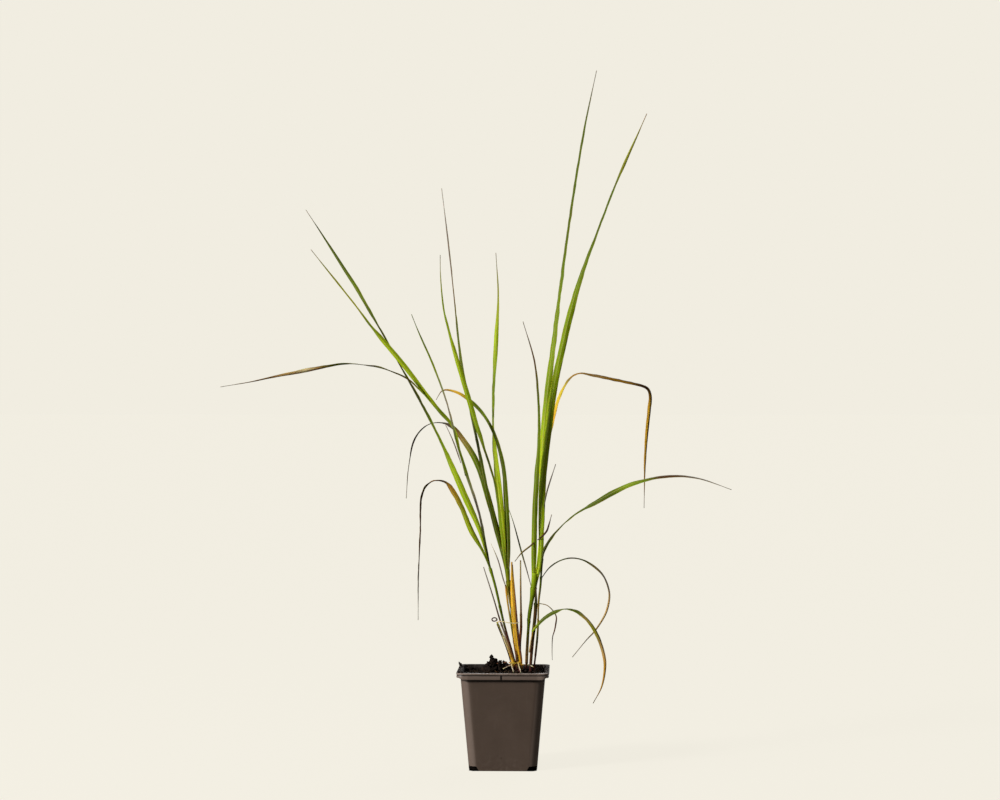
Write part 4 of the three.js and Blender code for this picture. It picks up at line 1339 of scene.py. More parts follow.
GOLDEN_BLADE = Shoot("golden_blade", Slot.GOLDEN, (
    Culm("golden_foot", rooted(16, -7, 1.9, (15.8, -7, 101, 1.5, AMBER), (15.4, -7, 104, 1, GOLD))),
), (
    Blade("golden_keeled_blade", 4.7, (
        (15.8, -7, 94, 30, AMBER), (14.7, -7, 105, 25, GOLD), (12.4, -7, 121, 20, GOLD),
        (10.5, -7, 142.5, 15, GOLD), (9.2, -7, 164, 10, GOLD), (8.4, -7, 180, 10, GOLD),
        (8.1, -6.5, 201.5, 0, HONEY)),
          base=0.55, full_at=0.05, taper_from=0.3, taper_power=3.6, tip=1.6, skin=DRY_LEAF, dry_and_shade_tint=AMBER),
    # A dark strip over the blade's right edge: painted shade on the part turned from the light.
    Blade("golden_dark_edge", 2.1, (
        (18.2, -7.9, 96, 10, AMBER), (17.7, -7.9, 105, 10, RUST), (15.4, -8, 121, 10, MAROON),
        (13.3, -8, 142.5, 10, MAROON), (11.6, -8, 164, 10, RUST), (10.1, -7.7, 184, 10, AMBER),
        (8.9, -7.2, 199, 10, UMBER)),
          base=0.45, full_at=0.14, taper_from=0.2, taper_power=2.5, skin=DRY_LEAF, dry_and_shade_tint=UMBER),
    Blade("golden_split_line", 2.0, (
        (13.8, -8.6, 97, 0, MAROON), (13.3, -8.6, 106.9, 0, UMBER), (11.4, -8.6, 114.8, 0, RUST),
        (9.9, -8.6, 124.6, 0, RUST), (8.9, -8.6, 134.4, 0, UMBER), (7.5, -8.4, 149, 0, DARK),
        (7.1, -8, 158, 0, DARK)),
          base=1.0, taper_from=0.25, taper_power=0.5, tip=0.9, skin=DRY_LEAF),
    Blade("golden_sheath_strip", 1.3, (
        (5.3, -10.2, 103.2, 0, TAN), (11, -10.6, 102.6, 0, YELLOW), (15.6, -8.2, 101.8, 0, GOLD),
        (20.6, -9.6, 100.6, 0, GOLD)), base=1.0, skin=DRY_LEAF),
    Blade("golden_pale_foot", 1.5, (
        (14.6, -9.6, 104, 0, GOLD), (15.4, -9.7, 100, 0, STRAW), (16.4, -9.7, 96.5, 0, CREAM),
        (17.4, -9.6, 92.6, 0, STRAW)), base=1.0, skin=DRY_LEAF, dry_and_shade_tint=RUST),
))

DEAD_STEM = Shoot("dead_stem", Slot.BROWN, (
    Culm("dead_culm", rooted(16.5, 12, 1.3, (15.8, 12, 105, 1.35, MAROON), (15.5, 12, 119, 1.35, MAROON),
                             (16.8, 12, 134, 1.15, RUST), (16.8, 12, 149, 1, TAN),
                             (16.5, 12, 172.5, 0.85, TAN), (16.3, 12, 202, 0.7, STRAW)),
         joints=(0.52, 0.6), sheaths=(Sheath(0.3, 0.6, 0.15, 0.15),)),
))

DEAD_STUB = Shoot("dead_stub", Slot.GREY, (
    Culm("dead_thin_culm", rooted(12, 15, 0.9, (8.8, 15, 105, 0.9, AMBER), (0.3, 15, 130, 0.9, GREY),
                                  (-4.1, 15.5, 142.6, 0.8, UMBER), (-11, 16, 165.5, 0.7, GREY),
                                  (-20.5, 17, 195, 0.5, ASH)), joints=(0.55,)),
))

TAN_STEM = Shoot("tan_stem", Slot.TAN, (
    Culm("tan_culm", rooted(10, -4, 1.5, (9.3, -4, 103, 1.4, GOLD), (7.1, -4.5, 109, 1.3, HONEY),
                            (1, -8, 125, 1.1, STRAW), (-6.2, -12, 143, 0.8, OLIVE)),
         joints=(0.55, 0.95), sheaths=(Sheath(0.35, 0.8, 0.1, 0.2),)),
    Culm("tan_dark_strand", (
        (7.6, -4.8, 100, 0.5, UMBER), (5.4, -5.6, 109, 0.5, UMBER), (0, -8.9, 125, 0.45, UMBER),
        (-3.8, -11.3, 134.5, 0.4, UMBER), (-6.4, -12.5, 141, 0.3, UMBER))),
    Culm("tan_dry_thread", (
        (-6.2, -12, 142.6, 0.5, HONEY), (-3, -14, 143.8, 0.4, STRAW), (0.5, -14.5, 143.5, 0.35, STRAW),
        (7.6, -14.5, 142.2, 0.42, STRAW), (13.8, -14, 142.2, 0.42, STRAW), (15.4, -13.5, 143.1, 0.3, STRAW))),
), (
    Blade("tan_shed_straw", 1.2, (
        (9, -4.5, 100.6, 0, STRAW), (4, -5.5, 98.6, 0, ASH), (-0.4, -6.5, 96.6, 0, STRAW)),
          base=1.0, skin=DRY_LEAF, dry_and_shade_tint=TAN),
    Blade("tan_pale_foot", 1.4, (
        (7.3, -6.6, 103.5, 0, GOLD), (8.0, -6.9, 100.5, 0, STRAW), (9.0, -7.0, 97.0, 0, CREAM),
        (10.3, -7.0, 92.6, 0, STRAW)), base=1.0, skin=DRY_LEAF, dry_and_shade_tint=RUST),
))

TAN_STUB = Shoot("tan_stub", Slot.TAN, (
    Culm("tan_thin_culm", rooted(12.6, 0, 0.9, (12.2, 0, 108, 0.8, RUST), (9.8, 0, 124, 0.8, OLIVE),
                                 (7.5, 0, 139, 0.75, OLIVE), (5.4, 0, 152, 0.75, KHAKI),
                                 (3.3, 0, 165.5, 0.75, HONEY), (2.5, 0, 174.5, 0.95, AMBER),
                                 (1.6, 0, 178.5, 0.6, UMBER)),
         joints=(0.5, 0.95), sheaths=(Sheath(0.55, 0.94, 0.08, 0.2),)),
), (
    Blade("tan_grey_leaf", 1.3, (
        (2.4, 0, 176, 0, GREY), (-0.4, 0, 184, 0, ASH), (-5.5, -2, 203, 0, ASH),
        (-12.4, -4, 219.4, 0, STRAW)),
          base=0.6, tip=0.35, skin=DRY_LEAF),
))

SHOOTS = (SHOOT_LEFT, SHOOT_MIDDLE, SHOOT_RIGHT, SHOOT_OUTER, BROWN_SHOOT, GOLDEN_BLADE, DEAD_STEM, DEAD_STUB,
          TAN_STEM, TAN_STUB)


@dataclass(frozen=True)
class Curl:
    """The dry curl at the tan stem's top: a thread that winds once round and ends inside itself."""

    middle: tuple[float, float, float] = (-8.8, -12.0, 145.4)
    radius: float = 2.7
    end_share: float = 0.72
    squash: float = 0.72
    thread: float = 0.58
    turns: float = 1.12
    start: float = -0.6
    depths: tuple[float, float] = (0.3, -0.9)
    tints: tuple[Tint, ...] = (KHAKI,) * 2 + (UMBER,) * 4 + (MAROON,) * 8 + (GREY,) * 2

    def build(self) -> Piece:
        """Makes the curl: a squashed circle in the plane that faces the front, whose radius shrinks along it.

        Returns:
            The piece.
        """
        count = len(self.tints)
        turn = np.linspace(0.0, FULL_TURN * self.turns, count) + self.start
        shrink = np.linspace(1.0, self.end_share, count) * self.radius
        x, y, z = self.middle
        rows = zip(x + shrink * np.cos(turn), y + np.linspace(*self.depths, count),
                   z + self.squash * shrink * np.sin(turn), self.tints)
        route = tuple((px, py, pz, self.thread, tint) for px, py, pz, tint in rows)
        return Culm("tan_curl", route).build("tan_stem", Slot.TAN)


Size = Union[float, Array]

CORNER_STEPS = 14
SIDE_POINTS = 40


def square_ring() -> tuple[Array, Array, Array]:
    """The parts of a square ring with round corners.

    A place on the ring is its centre share times the half width less the corner's radius, plus its unit
    direction times the radius. Both are the same along a corner's arc or go straight between two corners.

    Returns:
        Centre shares (n, 2), unit directions (n, 2), and each place's lift. The lift rises over the half of a
        corner that meets the front or back, and falls again along the first third of the left or right side.
    """
    lifted_side = 0.3
    share = np.linspace(0.0, 1.0, CORNER_STEPS + 1)
    between = np.linspace(0.0, 1.0, SIDE_POINTS + 2)[1:-1, None]
    centres, directions, lifts = [], [], []
    for corner in range(4):
        angle = (corner + share) * math.pi / 2
        diagonals = ((corner + turns) * math.pi / 2 for turns in (0.5, 1.5))
        sign, after = (np.sign([math.cos(turn), math.sin(turn)]) for turn in diagonals)
        arc = np.stack([np.cos(angle), np.sin(angle)], -1)
        centres += [np.tile(sign, (len(share), 1)), sign + (after - sign) * between]
        directions += [arc, np.tile(arc[-1], (SIDE_POINTS, 1))]
        to_flank = share if corner % 2 else 1 - share
        from_corner = np.minimum(between[:, 0], 1 - between[:, 0])
        lifts += [smooth(2 * to_flank), (1 - smooth(from_corner / lifted_side)) * (corner % 2)]
    return np.concatenate(centres), np.concatenate(directions), np.concatenate(lifts)


RING_CENTRES, RING_DIRECTIONS, RING_LIFTS = square_ring()


def squared(half: Size, corner: Size, height: Size) -> Array:
    """One square ring with round corners, in millimetres.

    Args:
        half: Its half width, as a number or one for each place.
        corner: Its corners' radius.
        height: Its height.

    Returns:
        Points as (n, 3).
    """
    half, corner, height = (np.broadcast_to(np.asarray(size, float), RING_LIFTS.shape)[:, None]
                            for size in (half, corner, height))
    return np.concatenate([RING_CENTRES * (half - corner) + RING_DIRECTIONS * corner, height], -1)


@dataclass(frozen=True)
class Pot:
    """The square nursery pot: thin walls, a lip with a groove, a hanging skirt, raised drain corners."""

    height: float = 96.0
    rim_half: float = 45.0
    wall_top_half: float = 41.6
    wall_bottom_half: float = 33.1
    wall: float = 1.0
    corner_top: float = 10.5
    corner_bottom: float = 9.0
    lip_height: float = 1.6
    groove: float = 0.7
    groove_height: float = 1.0
    skirt_height: float = 6.5
    skirt_wall: float = 0.9
    skirt_corner_lift: float = 2.0
    rim_corner: float = 7.0
    recess_height: float = 4.4
    recess_top_reach: float = 8.2
    recess_bottom_reach: float = 9.6
    inner_floor: float = 9.0
    notch_x: float = -1.2
    notch_width: float = 1.6
    notch_low: float = 89.6
    notch_high: float = 94.6
    notch_depth: float = 3.0
    foot_bevel: float = 0.5
    foot_lift: float = 0.15
    rim_edge: float = 0.3
    inner_top: float = 94.0
    wobble: float = 0.12
    wobble_length: float = 60.0
    wobble_from: float = 20.0
    wobble_full: float = 90.0
    crease: float = 38.0
    finish: PlasticFinish = PlasticFinish()

    def wall_half(self, z: Size) -> Size:
        """The outside half width of the wall at a height."""
        return self.wall_bottom_half + (self.wall_top_half - self.wall_bottom_half) * z / self.height

    def wall_corner(self, z: Size) -> Size:
        """The radius of the wall's corners at a height."""
        return self.corner_bottom + (self.corner_top - self.corner_bottom) * z / self.height

    def recess(self, ring: Array) -> Array:
        """How high the underside is: flat, and a square step with slanted sides at its corners.

        Args:
            ring: Points on the underside, as (n, 3).

        Returns:
            The height at each point.
        """
        inward = self.wall_bottom_half - np.abs(ring[:, :2]).min(-1)
        slope = self.recess_height / (self.recess_bottom_reach - self.recess_top_reach)
        return np.clip((self.recess_bottom_reach - inward) * slope, 0.0, self.recess_height)

    def underside(self) -> list[Array]:
        """The underside, cut up at its corners.

        Returns:
            Rings from its middle to the foot.
        """
        rings = []
        for share in np.linspace(0.04, 1.0, 40):
            ring = squared((self.wall_bottom_half - self.foot_bevel) * share,
                           (self.corner_bottom - self.foot_bevel) * share, 0.0)
            ring[:, 2] = self.recess(ring)
            rings.append(ring)
        return rings

    def outside(self) -> list[Array]:
        """The tapered wall, in steps that are closest just above the foot.

        Returns:
            Rings from the foot to under the lip.
        """
        foot = self.recess(squared(self.wall_bottom_half, self.corner_bottom, 0.0)) + self.foot_lift
        top = self.height - self.lip_height
        shares = np.concatenate([[0.0, 0.002, 0.006], np.linspace(0.015, 1.0, 44)])
        heights = (foot + (top - foot) * share for share in shares)
        return [squared(self.wall_half(z), self.wall_corner(z), z) for z in heights]

    def rim(self) -> list[Array]:
        """The skirt, the groove and the lip, and the step down to the inner wall.

        Each row of the profile is how far a ring is drawn in from the rim's widest line, its height, and how
        much of the lift at the corners it takes.

        Returns:
            The rings, from under the skirt to the inner wall.
        """
        height, groove = self.height, self.groove
        top, foot = height - self.lip_height, height - self.skirt_height
        inner, edge = groove + self.skirt_wall, self.rim_edge
        profile = (
            (inner + 1.2, top, 0.0), (inner, top - 0.02, 0.0), (inner, 93.0, 0.1), (inner, 91.0, 0.5),
            (inner, foot + 0.2, 1.0), (inner - 0.15, foot, 1.0), (edge + 0.15, foot, 1.0),
            (edge, foot + 0.15, 1.0), (edge - 0.1, foot + 1.5, 0.6), (edge - 0.05, foot + 3.0, 0.2),
            (edge, top - self.groove_height - 0.1, 0.0), (groove, top - self.groove_height / 2, 0.0),
            (groove, top, 0.0), (0.14, top + 0.06, 0.0), (0.04, top + 0.2, 0.0), (0.0, top + 0.4, 0.0),
            (0.0, height - 0.45, 0.0), (0.06, height - 0.2, 0.0), (0.22, height - 0.05, 0.0), (0.5, height, 0.0))
        lifts = self.skirt_corner_lift * RING_LIFTS
        rings = [squared(self.rim_half - inset, self.rim_corner - inset, z + share * lifts)
                 for inset, z, share in profile]
        half, corner = self.wall_half(height) - self.wall, self.corner_top - self.wall
        return rings + [squared(half + out, corner + out, height - down)
                        for out, down in ((0.5, 0.0), (0.12, 0.1), (0.0, 0.4))]

    def inside(self) -> list[Array]:
        """The inner wall and the inner floor.

        Returns:
            Rings from under the rim to the floor's middle.
        """
        levels = [(z, 1.0) for z in np.linspace(self.inner_top, self.inner_floor, 20)]
        levels += [(self.inner_floor, share) for share in (0.7, 0.4, 0.1)]
        return [squared((self.wall_half(z) - self.wall) * share, (self.wall_corner(z) - self.wall) * share, z)
                for z, share in levels]

    def surface(self) -> Surface:
        """The whole pot as one closed body: rings from under its middle, up outside and down inside.

        Noise draws its upper part in a little, by a smooth step of the height, so no side is dead flat.

        Returns:
            The surface, with U round the pot and V along its profile.
        """
        rings = np.stack(self.underside() + self.outside() + self.rim() + self.inside())
        sideways = np.array([self.wobble, self.wobble, 0.0])
        wander = waves(rings / self.wobble_length, 5, 1.0, 2)[..., None] * sideways
        upper = smooth((rings[..., 2:] - self.wobble_from) / (self.wobble_full - self.wobble_from))
        rings = (rings - np.abs(wander) * np.sign(rings) * upper) * MM
        count, size = rings.shape[:2]
        return tube(rings, paired(np.linspace(0, 1, size)[None, :], np.linspace(0, 1, count)[:, None]))

    def carve(self, piece: Piece) -> None:
        """Cuts the label slot through the front of the skirt.

        Args:
            piece: The pot.
        """
        mesh = bpy.data.meshes.new("label_slot")
        cutter = placed("label_slot", mesh)
        shape = bmesh.new()
        bmesh.ops.create_cube(shape, size=1.0)
        size = np.array([self.notch_width, self.notch_depth, self.notch_high - self.notch_low]) * MM
        middle = np.array([self.notch_x, -self.rim_half, (self.notch_high + self.notch_low) / 2]) * MM
        bmesh.ops.scale(shape, vec=size, verts=shape.verts)
        bmesh.ops.translate(shape, vec=middle, verts=shape.verts)
        shape.to_mesh(mesh)
        shape.free()
        cut = piece.modifiers.new("label_slot", "BOOLEAN")
        cut.operation = "DIFFERENCE"
        cut.solver = "EXACT"
        cut.object = cutter
        graph = bpy.context.evaluated_depsgraph_get()
        carved = bpy.data.meshes.new_from_object(piece.evaluated_get(graph))
        piece.modifiers.clear()
        piece.data = carved
        bpy.data.objects.remove(cutter)

    def build(self) -> Piece:
        """Makes the pot and dresses it.

        Returns:
            The piece.
        """
        plastic = self.finish.material()
        piece = piece_from("nursery_pot", self.surface(), plastic, Slot.POT, ("pot",), self.crease)
        self.carve(piece)
        return piece


Rows = tuple[tuple[float, float, float, float], ...]

PEAT_FINISH = SoilFinish(Tint.PEAT, Tint.EARTH, 260.0, 0.55)
CRUMB_FINISH = SoilFinish(Tint.PEAT, Tint.EARTH, 400.0, 0.7)
FIBRE_FINISH = SoilFinish(Tint.EARTH, Tint.TAN, 500.0, 0.5, 0.85)
BARK_FINISH = SoilFinish(Tint.BARK, Tint.RUST, 350.0, 0.3, 0.85)


def ball(level: int) -> tuple[Array, Array]:
    """A ball of nearly even triangles.

    Args:
        level: How often its faces are divided.

    Returns:
        Its points at radius 1, and its triangles.
    """
    shape = bmesh.new()
    bmesh.ops.create_icosphere(shape, subdivisions=level, radius=1.0)
    mesh = bpy.data.meshes.new("ball")
    shape.to_mesh(mesh)
    shape.free()
    points = np.empty(len(mesh.vertices) * 3)
    faces = np.empty(len(mesh.loops), int)
    mesh.vertices.foreach_get("co", points)
    mesh.loops.foreach_get("vertex_index", faces)
    bpy.data.meshes.remove(mesh)
    return points.reshape(-1, 3), faces.reshape(-1, 3)


@dataclass(frozen=True)
class Compost:
    """Dark peat that fills the pot: a rough field, big clods, crumbs, fibres and bark bits."""

    level: float = 89.5
    half: float = 39.85
    corner: float = 9.3
    bottom: float = 10.0
    mounds: Rows = (
        (18, 2, 5.2, 15), (-12, 6, 2.4, 12), (33, -28, -1.6, 14), (-30, -24, -1.2, 13), (0, 34, 3.0, 22),
        (32, 30, 3.6, 15), (-33, 33, 2.6, 12), (34, 2, 2.0, 12), (-36, 6, 1.6, 12))
    clods: Rows = (
        (-13, 8, 1.6, 5.0), (-12.4, 7.5, 6, 3.9), (-12.8, 8, 10, 2.8), (-12, 7.6, 13.4, 2.0),
        (-15, 7.4, 6.4, 2.3), (-10.4, 8, 7.6, 1.9), (-16.8, 7, 3.4, 1.8),
        (-3.5, 10, 3, 4.2), (-4.4, 8.4, 7.6, 2.7), (0.8, 9, 3, 4.0), (1.0, 8.4, 7.8, 2.3), (4.6, 8, 5.6, 2.4),
        (-16.5, 4, 1, 3.2), (33, 30, 0.6, 3.2), (-7, 12, 3.5, 3.6), (7, 14, 1.8, 2.8), (-20, 10, 0.8, 3.2),
        (-34, 26, 0.8, 3.0), (29, 12, 1.2, 2.8), (36, 14, 1.4, 2.6), (31, 22, 1.0, 3.0), (37, 30, 1.2, 2.2))
    bark: Rows = (
        (1.6, 6.6, 9.4, 1.7), (6.4, 6, 6, 1.6), (-5.6, 6.4, 8.2, 1.4), (-7.5, 2, 0.6, 1.6), (8, -18, 0.4, 2.2),
        (-24, -8, 0.4, 2), (30, 8, 0.5, 1.7), (-2, 28, 0.5, 2.3), (24, -22, 0.4, 1.5), (-30, 18, 0.5, 1.8))
    spike: Rows = (
        (-43.2, 27.2, 95.8, 1.9), (-43.8, 27.0, 97.2, 1.4), (-44.5, 27.0, 98.5, 1.0), (-45.0, 27.0, 99.6, 0.6))
    front_scraps: Rows = (
        (-42.6, -37.5, 96.3, 1.2), (-41.4, -39.0, 96.4, 1.1), (-43.2, -35.0, 96.2, 0.9),
        (-39.0, -40.6, 96.0, 0.8), (-43.4, -33.0, 95.9, 0.7), (-40.2, -40.0, 96.6, 0.6),
        (-36.0, -41.6, 96.0, 0.5), (-42.0, -30.0, 96.2, 0.8))
    side_scraps: int = 90
    left_scraps: int = 55
    crumb_count: int = 1500
    crumb_sizes: tuple[float, float] = (0.35, 1.5)
    crumb_jag: float = 0.3
    clod_jag: float = 0.62
    bark_jag: float = 0.25
    bark_flatness: float = 0.45
    scrap_jag: float = 0.42
    fibre_count: int = 150
    fibre_lengths: tuple[float, float] = (2.0, 7.0)
    fibre_radii: tuple[float, float] = (0.06, 0.17)
    fibre_lift: float = 0.5
    field_points: int = 185
    drawn_in: float = 0.84
    calm_edge: float = 3.0
    edge_relief: float = 0.35
    seed: int = 11

    def height(self, flat: Array) -> Array:
        """The soil's height in millimetres: its level, plus a bell curve for each mound.

        Args:
            flat: Places as (..., 2).

        Returns:
            The height at each place.
        """
        total = np.full(flat.shape[:-1], self.level)
        for x, y, rise, reach in self.mounds:
            total = total + rise * np.exp(-((flat[..., 0] - x) ** 2 + (flat[..., 1] - y) ** 2) / reach ** 2)
        return total

    def rough(self, flat: Array) -> Array:
        """The soil's relief: noise in lumps, cut off below, and the size of a finer noise as its grain.

        Args:
            flat: Places as (..., 2).

        Returns:
            How far the relief stands over the plain height.
        """
        lumps = np.maximum(waves(flat, 21, 0.09, 3), -0.3) * 0.9
        grain = np.abs(waves(flat, 22, 0.45, 4)) * 0.8
        return lumps + grain - 0.4

    def field(self) -> Surface:
        """The top of the compost as a grid on a rounded square, closed by sides and a bottom.

        A grid square is drawn onto the rounded square: in each corner, a place (a, b) of the unit square goes
        to a times the root of 1 less half of b squared, and the same the other way round.

        Returns:
            The surface.
        """
        count = self.field_points
        line = np.linspace(-1.0, 1.0, count) * self.half
        flat = np.stack(np.meshgrid(line, line, indexing="ij"), -1)
        beyond = np.clip((np.abs(flat) - (self.half - self.corner)) / self.corner, 0.0, 1.0)
        curved = beyond * np.sqrt(1 - beyond[..., ::-1] ** 2 / 2)
        in_corner = (beyond.min(-1) > 0)[..., None]
        arc = np.sign(flat) * (self.half - self.corner + self.corner * curved)
        flat = np.where(in_corner, arc, flat)
        inside = smooth((self.half - np.abs(flat).max(-1)) / self.calm_edge)
        z = self.height(flat) + self.rough(flat) * (self.edge_relief + (1 - self.edge_relief) * inside)
        top = np.concatenate([flat, z[..., None]], -1).reshape(-1, 3)
        number = np.arange(count * count).reshape(count, count)
        border = np.concatenate([number[:-1, 0], number[-1, :-1], number[:0:-1, -1], number[0, :0:-1]])
        drop = top[border].copy()
        drop[:, :2] *= self.drawn_in
        drop[:, 2] = self.bottom
        start = len(top)
        below = start + np.arange(len(border))
        beside = np.roll(np.arange(len(border)), -1)
        sides = np.stack([border, below, below[beside], border[beside]], -1)
        centre = start + len(border)
        fan = np.stack([np.full(len(border), centre), below[beside], below], -1)
        points = np.concatenate([top, drop, [[0.0, 0.0, self.bottom]]])
        quads = np.concatenate([lattice(count, count), sides])
        return Surface(points * MM, quads, fan, points[:, :2] / (2 * self.half) + 0.5)

    def lumps(self, places: Array, radii: Array, level: int, jag: float, seed: int,
              flatten: float = 0.8) -> Surface:
        """Scattered lumps: one ball, copied, squashed, turned and pushed in and out by noise.

        Args:
            places: The lumps' middles in millimetres, as (n, 3).
            radii: Their radii.
            level: How fine each one is.
            jag: How far their surface is pushed, as a share of the radius.
            seed: Which shapes they get.
            flatten: Their height as a share of their width.

        Returns:
            All lumps as one surface.
        """
        random = np.random.default_rng(seed)
        points, faces = ball(level)
        count = len(places)
        turned, _ = np.linalg.qr(random.normal(size=(count, 3, 3)))
        turned *= np.sign(np.linalg.det(turned))[:, None, None]
        stretch = random.uniform(0.65, 1.15, (count, 1, 3))
        shifted = points[None] * 0.9 + random.uniform(-40, 40, (count, 1, 3))
        pushed = points[None] * (1 + jag * waves(shifted, seed, 0.55, 4))[..., None] * stretch
        spun = np.einsum("nij,nkj->nki", turned, pushed) * np.array([1.0, 1.0, flatten])
        moved = places[:, None] + spun * radii[:, None, None]
        numbers = faces[None] + (np.arange(count) * len(points))[:, None, None]
        uv = np.zeros((count * len(points), 2))
        return Surface(moved.reshape(-1, 3) * MM, NO_QUADS, numbers.reshape(-1, 3), uv)

    def scattered(self, count: int, seed: int, margin: float) -> Array:
        """Random places on the soil.

        Args:
            count: How many there are at most.
            seed: Which places they are.
            margin: How far inside the soil's edge they stay.

        Returns:
            The places as (n, 3).
        """
        random = np.random.default_rng(seed)
        flat = random.uniform(-1.0, 1.0, (count * 2, 2)) * (self.half - margin)
        over = np.clip(np.abs(flat) - (self.half - self.corner), 0.0, None)
        kept = flat[np.hypot(over[:, 0], over[:, 1]) < self.corner - margin][:count]
        return np.concatenate([kept, self.height(kept)[:, None]], -1)

    def crumbs(self) -> Surface:
        """Crumbs of many sizes, most of them small, as the cube of an even random number.

        Returns:
            All crumbs as one surface.
        """
        places = self.scattered(self.crumb_count, self.seed, 1.6)
        random = np.random.default_rng(self.seed + 1)
        least, more = self.crumb_sizes
        radii = least + more * random.random(len(places)) ** 3
        places[:, 2] += radii * random.uniform(0.0, 0.7, len(places))
        return self.lumps(places, radii, 2, self.crumb_jag, self.seed + 2)

    def rim_crumbs(self) -> Surface:
        """Crumbs that cling to the rim: a spike near the left back corner and scraps along both sides.

        Returns:
            All of them as one surface.
        """
        random = np.random.default_rng(self.seed + 5)
        count = self.side_scraps
        along = random.uniform(-38.0, 36.0, count)
        side = np.where(np.arange(count) < self.left_scraps, -1.0, 1.0)
        across = side * (42.0 + random.uniform(-1.6, 2.0, count))
        sizes = random.uniform(0.25, 0.8, count)
        scraps = np.stack([across, along, np.full(count, 95.9), sizes], -1)
        rows = np.concatenate([self.spike, scraps, self.front_scraps])
        return self.lumps(rows[:, :3], rows[:, 3], 3, self.scrap_jag, self.seed + 6, 1.0)

    def fibres(self) -> Surface:
        """Thin curved peat fibres: lines whose heading turns evenly, on and just over the soil.

        Returns:
            All fibres as one surface.
        """
        random = np.random.default_rng(self.seed + 7)
        roots = self.scattered(self.fibre_count, self.seed + 8, 4.0)
        stations = np.linspace(0.0, 1.0, 10)
        parts = []
        for x, y, _ in roots:
            heading = random.uniform(0, FULL_TURN) + random.uniform(-2.5, 2.5) * stations
            reach = random.uniform(*self.fibre_lengths)
            steps = paired(np.cos(heading), np.sin(heading)) * reach / len(stations)
            flat = np.cumsum(steps, axis=0) + [x, y]
            flat = np.clip(flat, -self.half + 2.5, self.half - 2.5)
            arch = random.uniform(0.0, 2.2) * np.sin(math.pi * stations) ** 2
            rise = self.height(flat) + self.fibre_lift + arch
            line = np.concatenate([flat, rise[:, None]], -1)
            tangents = unit(np.gradient(line, axis=0) + 1e-6)
            side = unit(np.cross(UP, tangents))
            sides = (side[:, None], np.cross(tangents, side)[:, None])
            radius = (random.uniform(*self.fibre_radii) * (1 - 0.7 * stations))[:, None]
            parts.append(tube(ring_points(line[:, None], sides, radius, angles_round(5)) * MM))
        return Surface.joined(parts)

    def on_soil(self, table: Sequence[Sequence[float]]) -> tuple[Array, Array]:
        """Lumps that a table gives by their height above the soil.

        Args:
            table: Rows of x, y, height above the soil and radius.

        Returns:
            Their middles as (n, 3), and their radii.
        """
        rows = np.array(table, float)
        rows[:, 2] += self.height(rows[:, :2])
        return rows[:, :3], rows[:, 3]

    def build(self) -> list[Piece]:
        """Makes the compost and everything that lies in it, and dresses them.

        Returns:
            The pieces.
        """
        peat = PEAT_FINISH.material("peat")
        crumb = CRUMB_FINISH.material("peat_crumbs")
        clods = self.lumps(*self.on_soil(self.clods), 4, self.clod_jag, self.seed + 3, 1.0)
        bark = self.lumps(*self.on_soil(self.bark), 3, self.bark_jag, self.seed + 4, self.bark_flatness)
        return [
            piece_from("peat_field", self.field(), peat, Slot.COMPOST, ("compost",)),
            piece_from("peat_clods", clods, crumb, Slot.COMPOST, ("compost",)),
            piece_from("peat_crumbs", self.crumbs(), crumb, Slot.COMPOST, ("compost",)),
            piece_from("rim_crumbs", self.rim_crumbs(), crumb, Slot.COMPOST),
            piece_from("peat_fibres", self.fibres(), FIBRE_FINISH.material("peat_fibres"), Slot.COMPOST),
            piece_from("bark_bits", bark, BARK_FINISH.material("bark"), Slot.COMPOST),
        ]


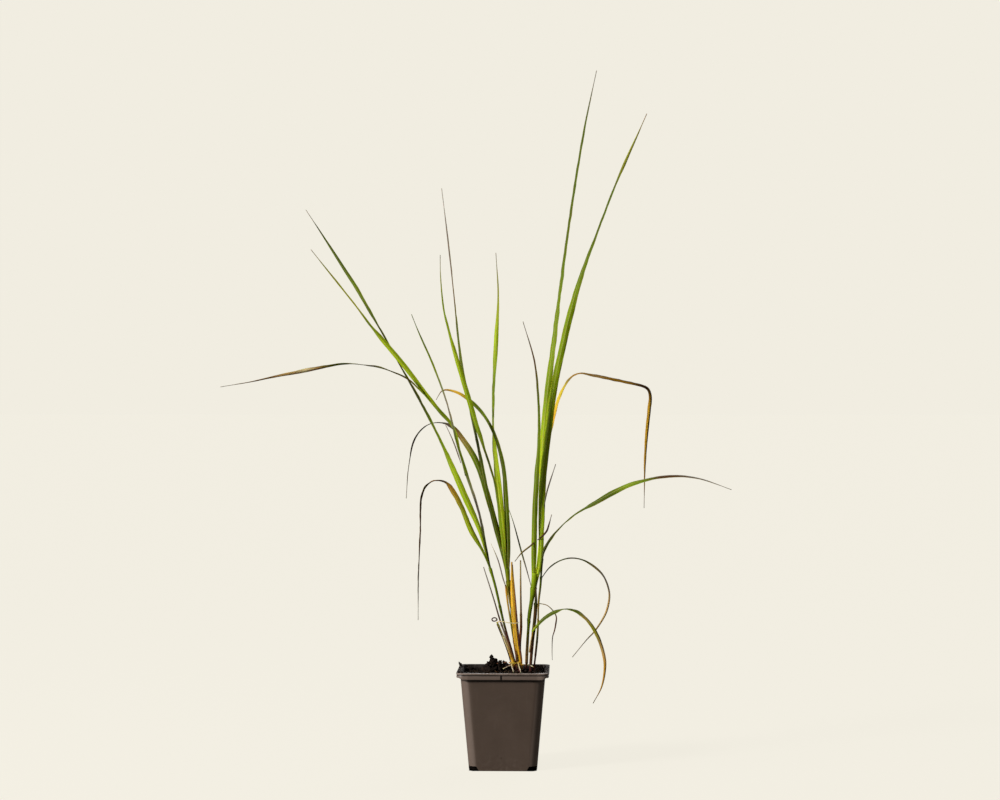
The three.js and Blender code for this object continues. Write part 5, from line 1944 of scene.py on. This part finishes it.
@dataclass(frozen=True)
class Studio:
    """The pale floor with a painted shadow under the pot, the soft light from the left and the camera."""

    floor_reach: float = 60.0
    sky: float = 0.10
    bounce: float = 0.10
    glow: float = 1.03
    glow_share: float = 0.93
    # Where the floor gets the painted shadow under the pot: a square with cut corners and its fading edge; then
    # that shadow's near-black colour.
    corner_cut: float = 0.0292
    painted_shadow_fade: tuple[float, float] = (0.0324, 0.0336)
    shade: tuple[float, float, float, float] = (0.001, 0.0008, 0.0006, 1.0)
    lamps: tuple[tuple[str, float, float, float, float], ...] = (
        ("soft_key", 3.25, 14.0, 67.0, -52.0), ("soft_fill", 0.3, 60.0, 70.0, 60.0),
        ("soft_back", 1.3, 60.0, 66.0, 160.0))
    side_power: float = 12.0
    side_size: tuple[float, float] = (1.0, 0.9)
    side_place: tuple[float, float, float] = (-1.5, -0.5, 0.5)
    plant_middle: tuple[float, float, float] = (0.0, 0.0, 0.25)
    camera_place: tuple[float, float, float] = (0.07057, -2.499, 0.3604)
    camera_turn: float = 1.7
    lens: float = 91.476
    sensor: float = 36.0

    def floor(self) -> None:
        """A pale matt plane that glows to the camera and throws little light upwards. Under the pot it is a
        near-black diffuse instead: a painted shadow.

        The part under the pot is a square with cut corners: the largest of x, of y, and of their sum less the
        cut, all without their signs.
        """
        mesh = bpy.data.meshes.new("floor")
        reach = self.floor_reach
        mesh.from_pydata([(-reach, -reach, 0), (reach, -reach, 0), (reach, reach, 0), (-reach, reach, 0)], [],
                         [(0, 1, 2, 3)])
        material = bpy.data.materials.new("floor")
        material.use_nodes = True
        graph = Graph(material.node_tree)
        pale = Tint.BACKDROP.linear()
        dim = (*(self.bounce * channel for channel in pale[:3]), 1.0)
        matt, painted_shadow, thrown = (graph.shader("ShaderNodeBsdfDiffuse", {"Color": colour})
                                for colour in (pale, self.shade, dim))
        glow = graph.shader("ShaderNodeEmission", {"Color": pale, "Strength": self.glow})
        x, y, _ = graph.split(graph.coordinates("Object"))
        from_corner = abs(x) + abs(y) - self.corner_cut
        # Painted shadow: under the pot the floor is a near-black diffuse instead of the glow.
        outside_painted_shadow = abs(x).at_least(abs(y)).at_least(from_corner).step(*self.painted_shadow_fade)
        seen = graph.blended(outside_painted_shadow, painted_shadow, graph.blended(self.glow_share, matt, glow))
        graph.node("ShaderNodeOutputMaterial", {}, {"Surface": graph.two_sided(seen, thrown)})
        mesh.materials.append(material)
        floor = placed("floor", mesh)

    def surroundings(self) -> None:
        """A pale backdrop that lights the object only weakly."""
        world = bpy.data.worlds.new("studio")
        world.use_nodes = True
        bpy.context.scene.world = world
        graph = Graph(world.node_tree)
        pale = Tint.BACKDROP.linear()
        seen, light = (graph.shader("ShaderNodeBackground", {"Color": pale, "Strength": strength})
                       for strength in (1.0, self.sky))
        graph.node("ShaderNodeOutputWorld", {}, {"Surface": graph.two_sided(seen, light)})

    def lamp(self, name: str, strength: float, spread: float, tilt: float, turn: float) -> None:
        """One large soft lamp far away.

        Args:
            name: Its name.
            strength: Its strength in watts a square metre.
            spread: How wide it is as seen from the object, in degrees.
            tilt: How far from straight above it stands, in degrees.
            turn: How far round it stands from the front, in degrees, with the left as minus.
        """
        light = bpy.data.lights.new(name, "SUN")
        light.energy = strength
        light.angle = math.radians(spread)
        placed(name, light).rotation_euler = (math.radians(tilt), 0.0, math.radians(turn))

    def side_box(self) -> None:
        """One soft box at the left that faces the plant."""
        light = bpy.data.lights.new("side_box", "AREA")
        light.energy = self.side_power
        light.shape = "RECTANGLE"
        light.size, light.size_y = self.side_size
        box = placed("side_box", light)
        box.location = self.side_place
        aim = Vector(self.plant_middle) - Vector(self.side_place)
        box.rotation_euler = aim.to_track_quat("-Z", "Y").to_euler()

    def camera(self) -> None:
        """The camera at the photograph's place: level, a little to the right, far away."""
        data = bpy.data.cameras.new("camera")
        data.lens = self.lens
        data.sensor_width = self.sensor
        camera = placed("camera", data)
        camera.location = self.camera_place
        camera.rotation_euler = (math.radians(90.0), 0.0, math.radians(self.camera_turn))
        bpy.context.scene.camera = camera

    def build(self) -> None:
        """Sets up the camera, the floor, the backdrop and the lamps."""
        bpy.context.scene.view_settings.view_transform = "Standard"
        self.camera()
        self.floor()
        self.surroundings()
        for row in self.lamps:
            self.lamp(*row)
        self.side_box()


def main() -> None:
    """Builds the studio, the pot, the compost and each shoot."""
    logging.basicConfig(level=logging.INFO, format="%(message)s")
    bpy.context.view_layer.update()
    Studio().build()
    Pot().build()
    Compost().build()
    for shoot in SHOOTS:
        shoot.build()
    Curl().build()


if __name__ == "__main__":
    main()
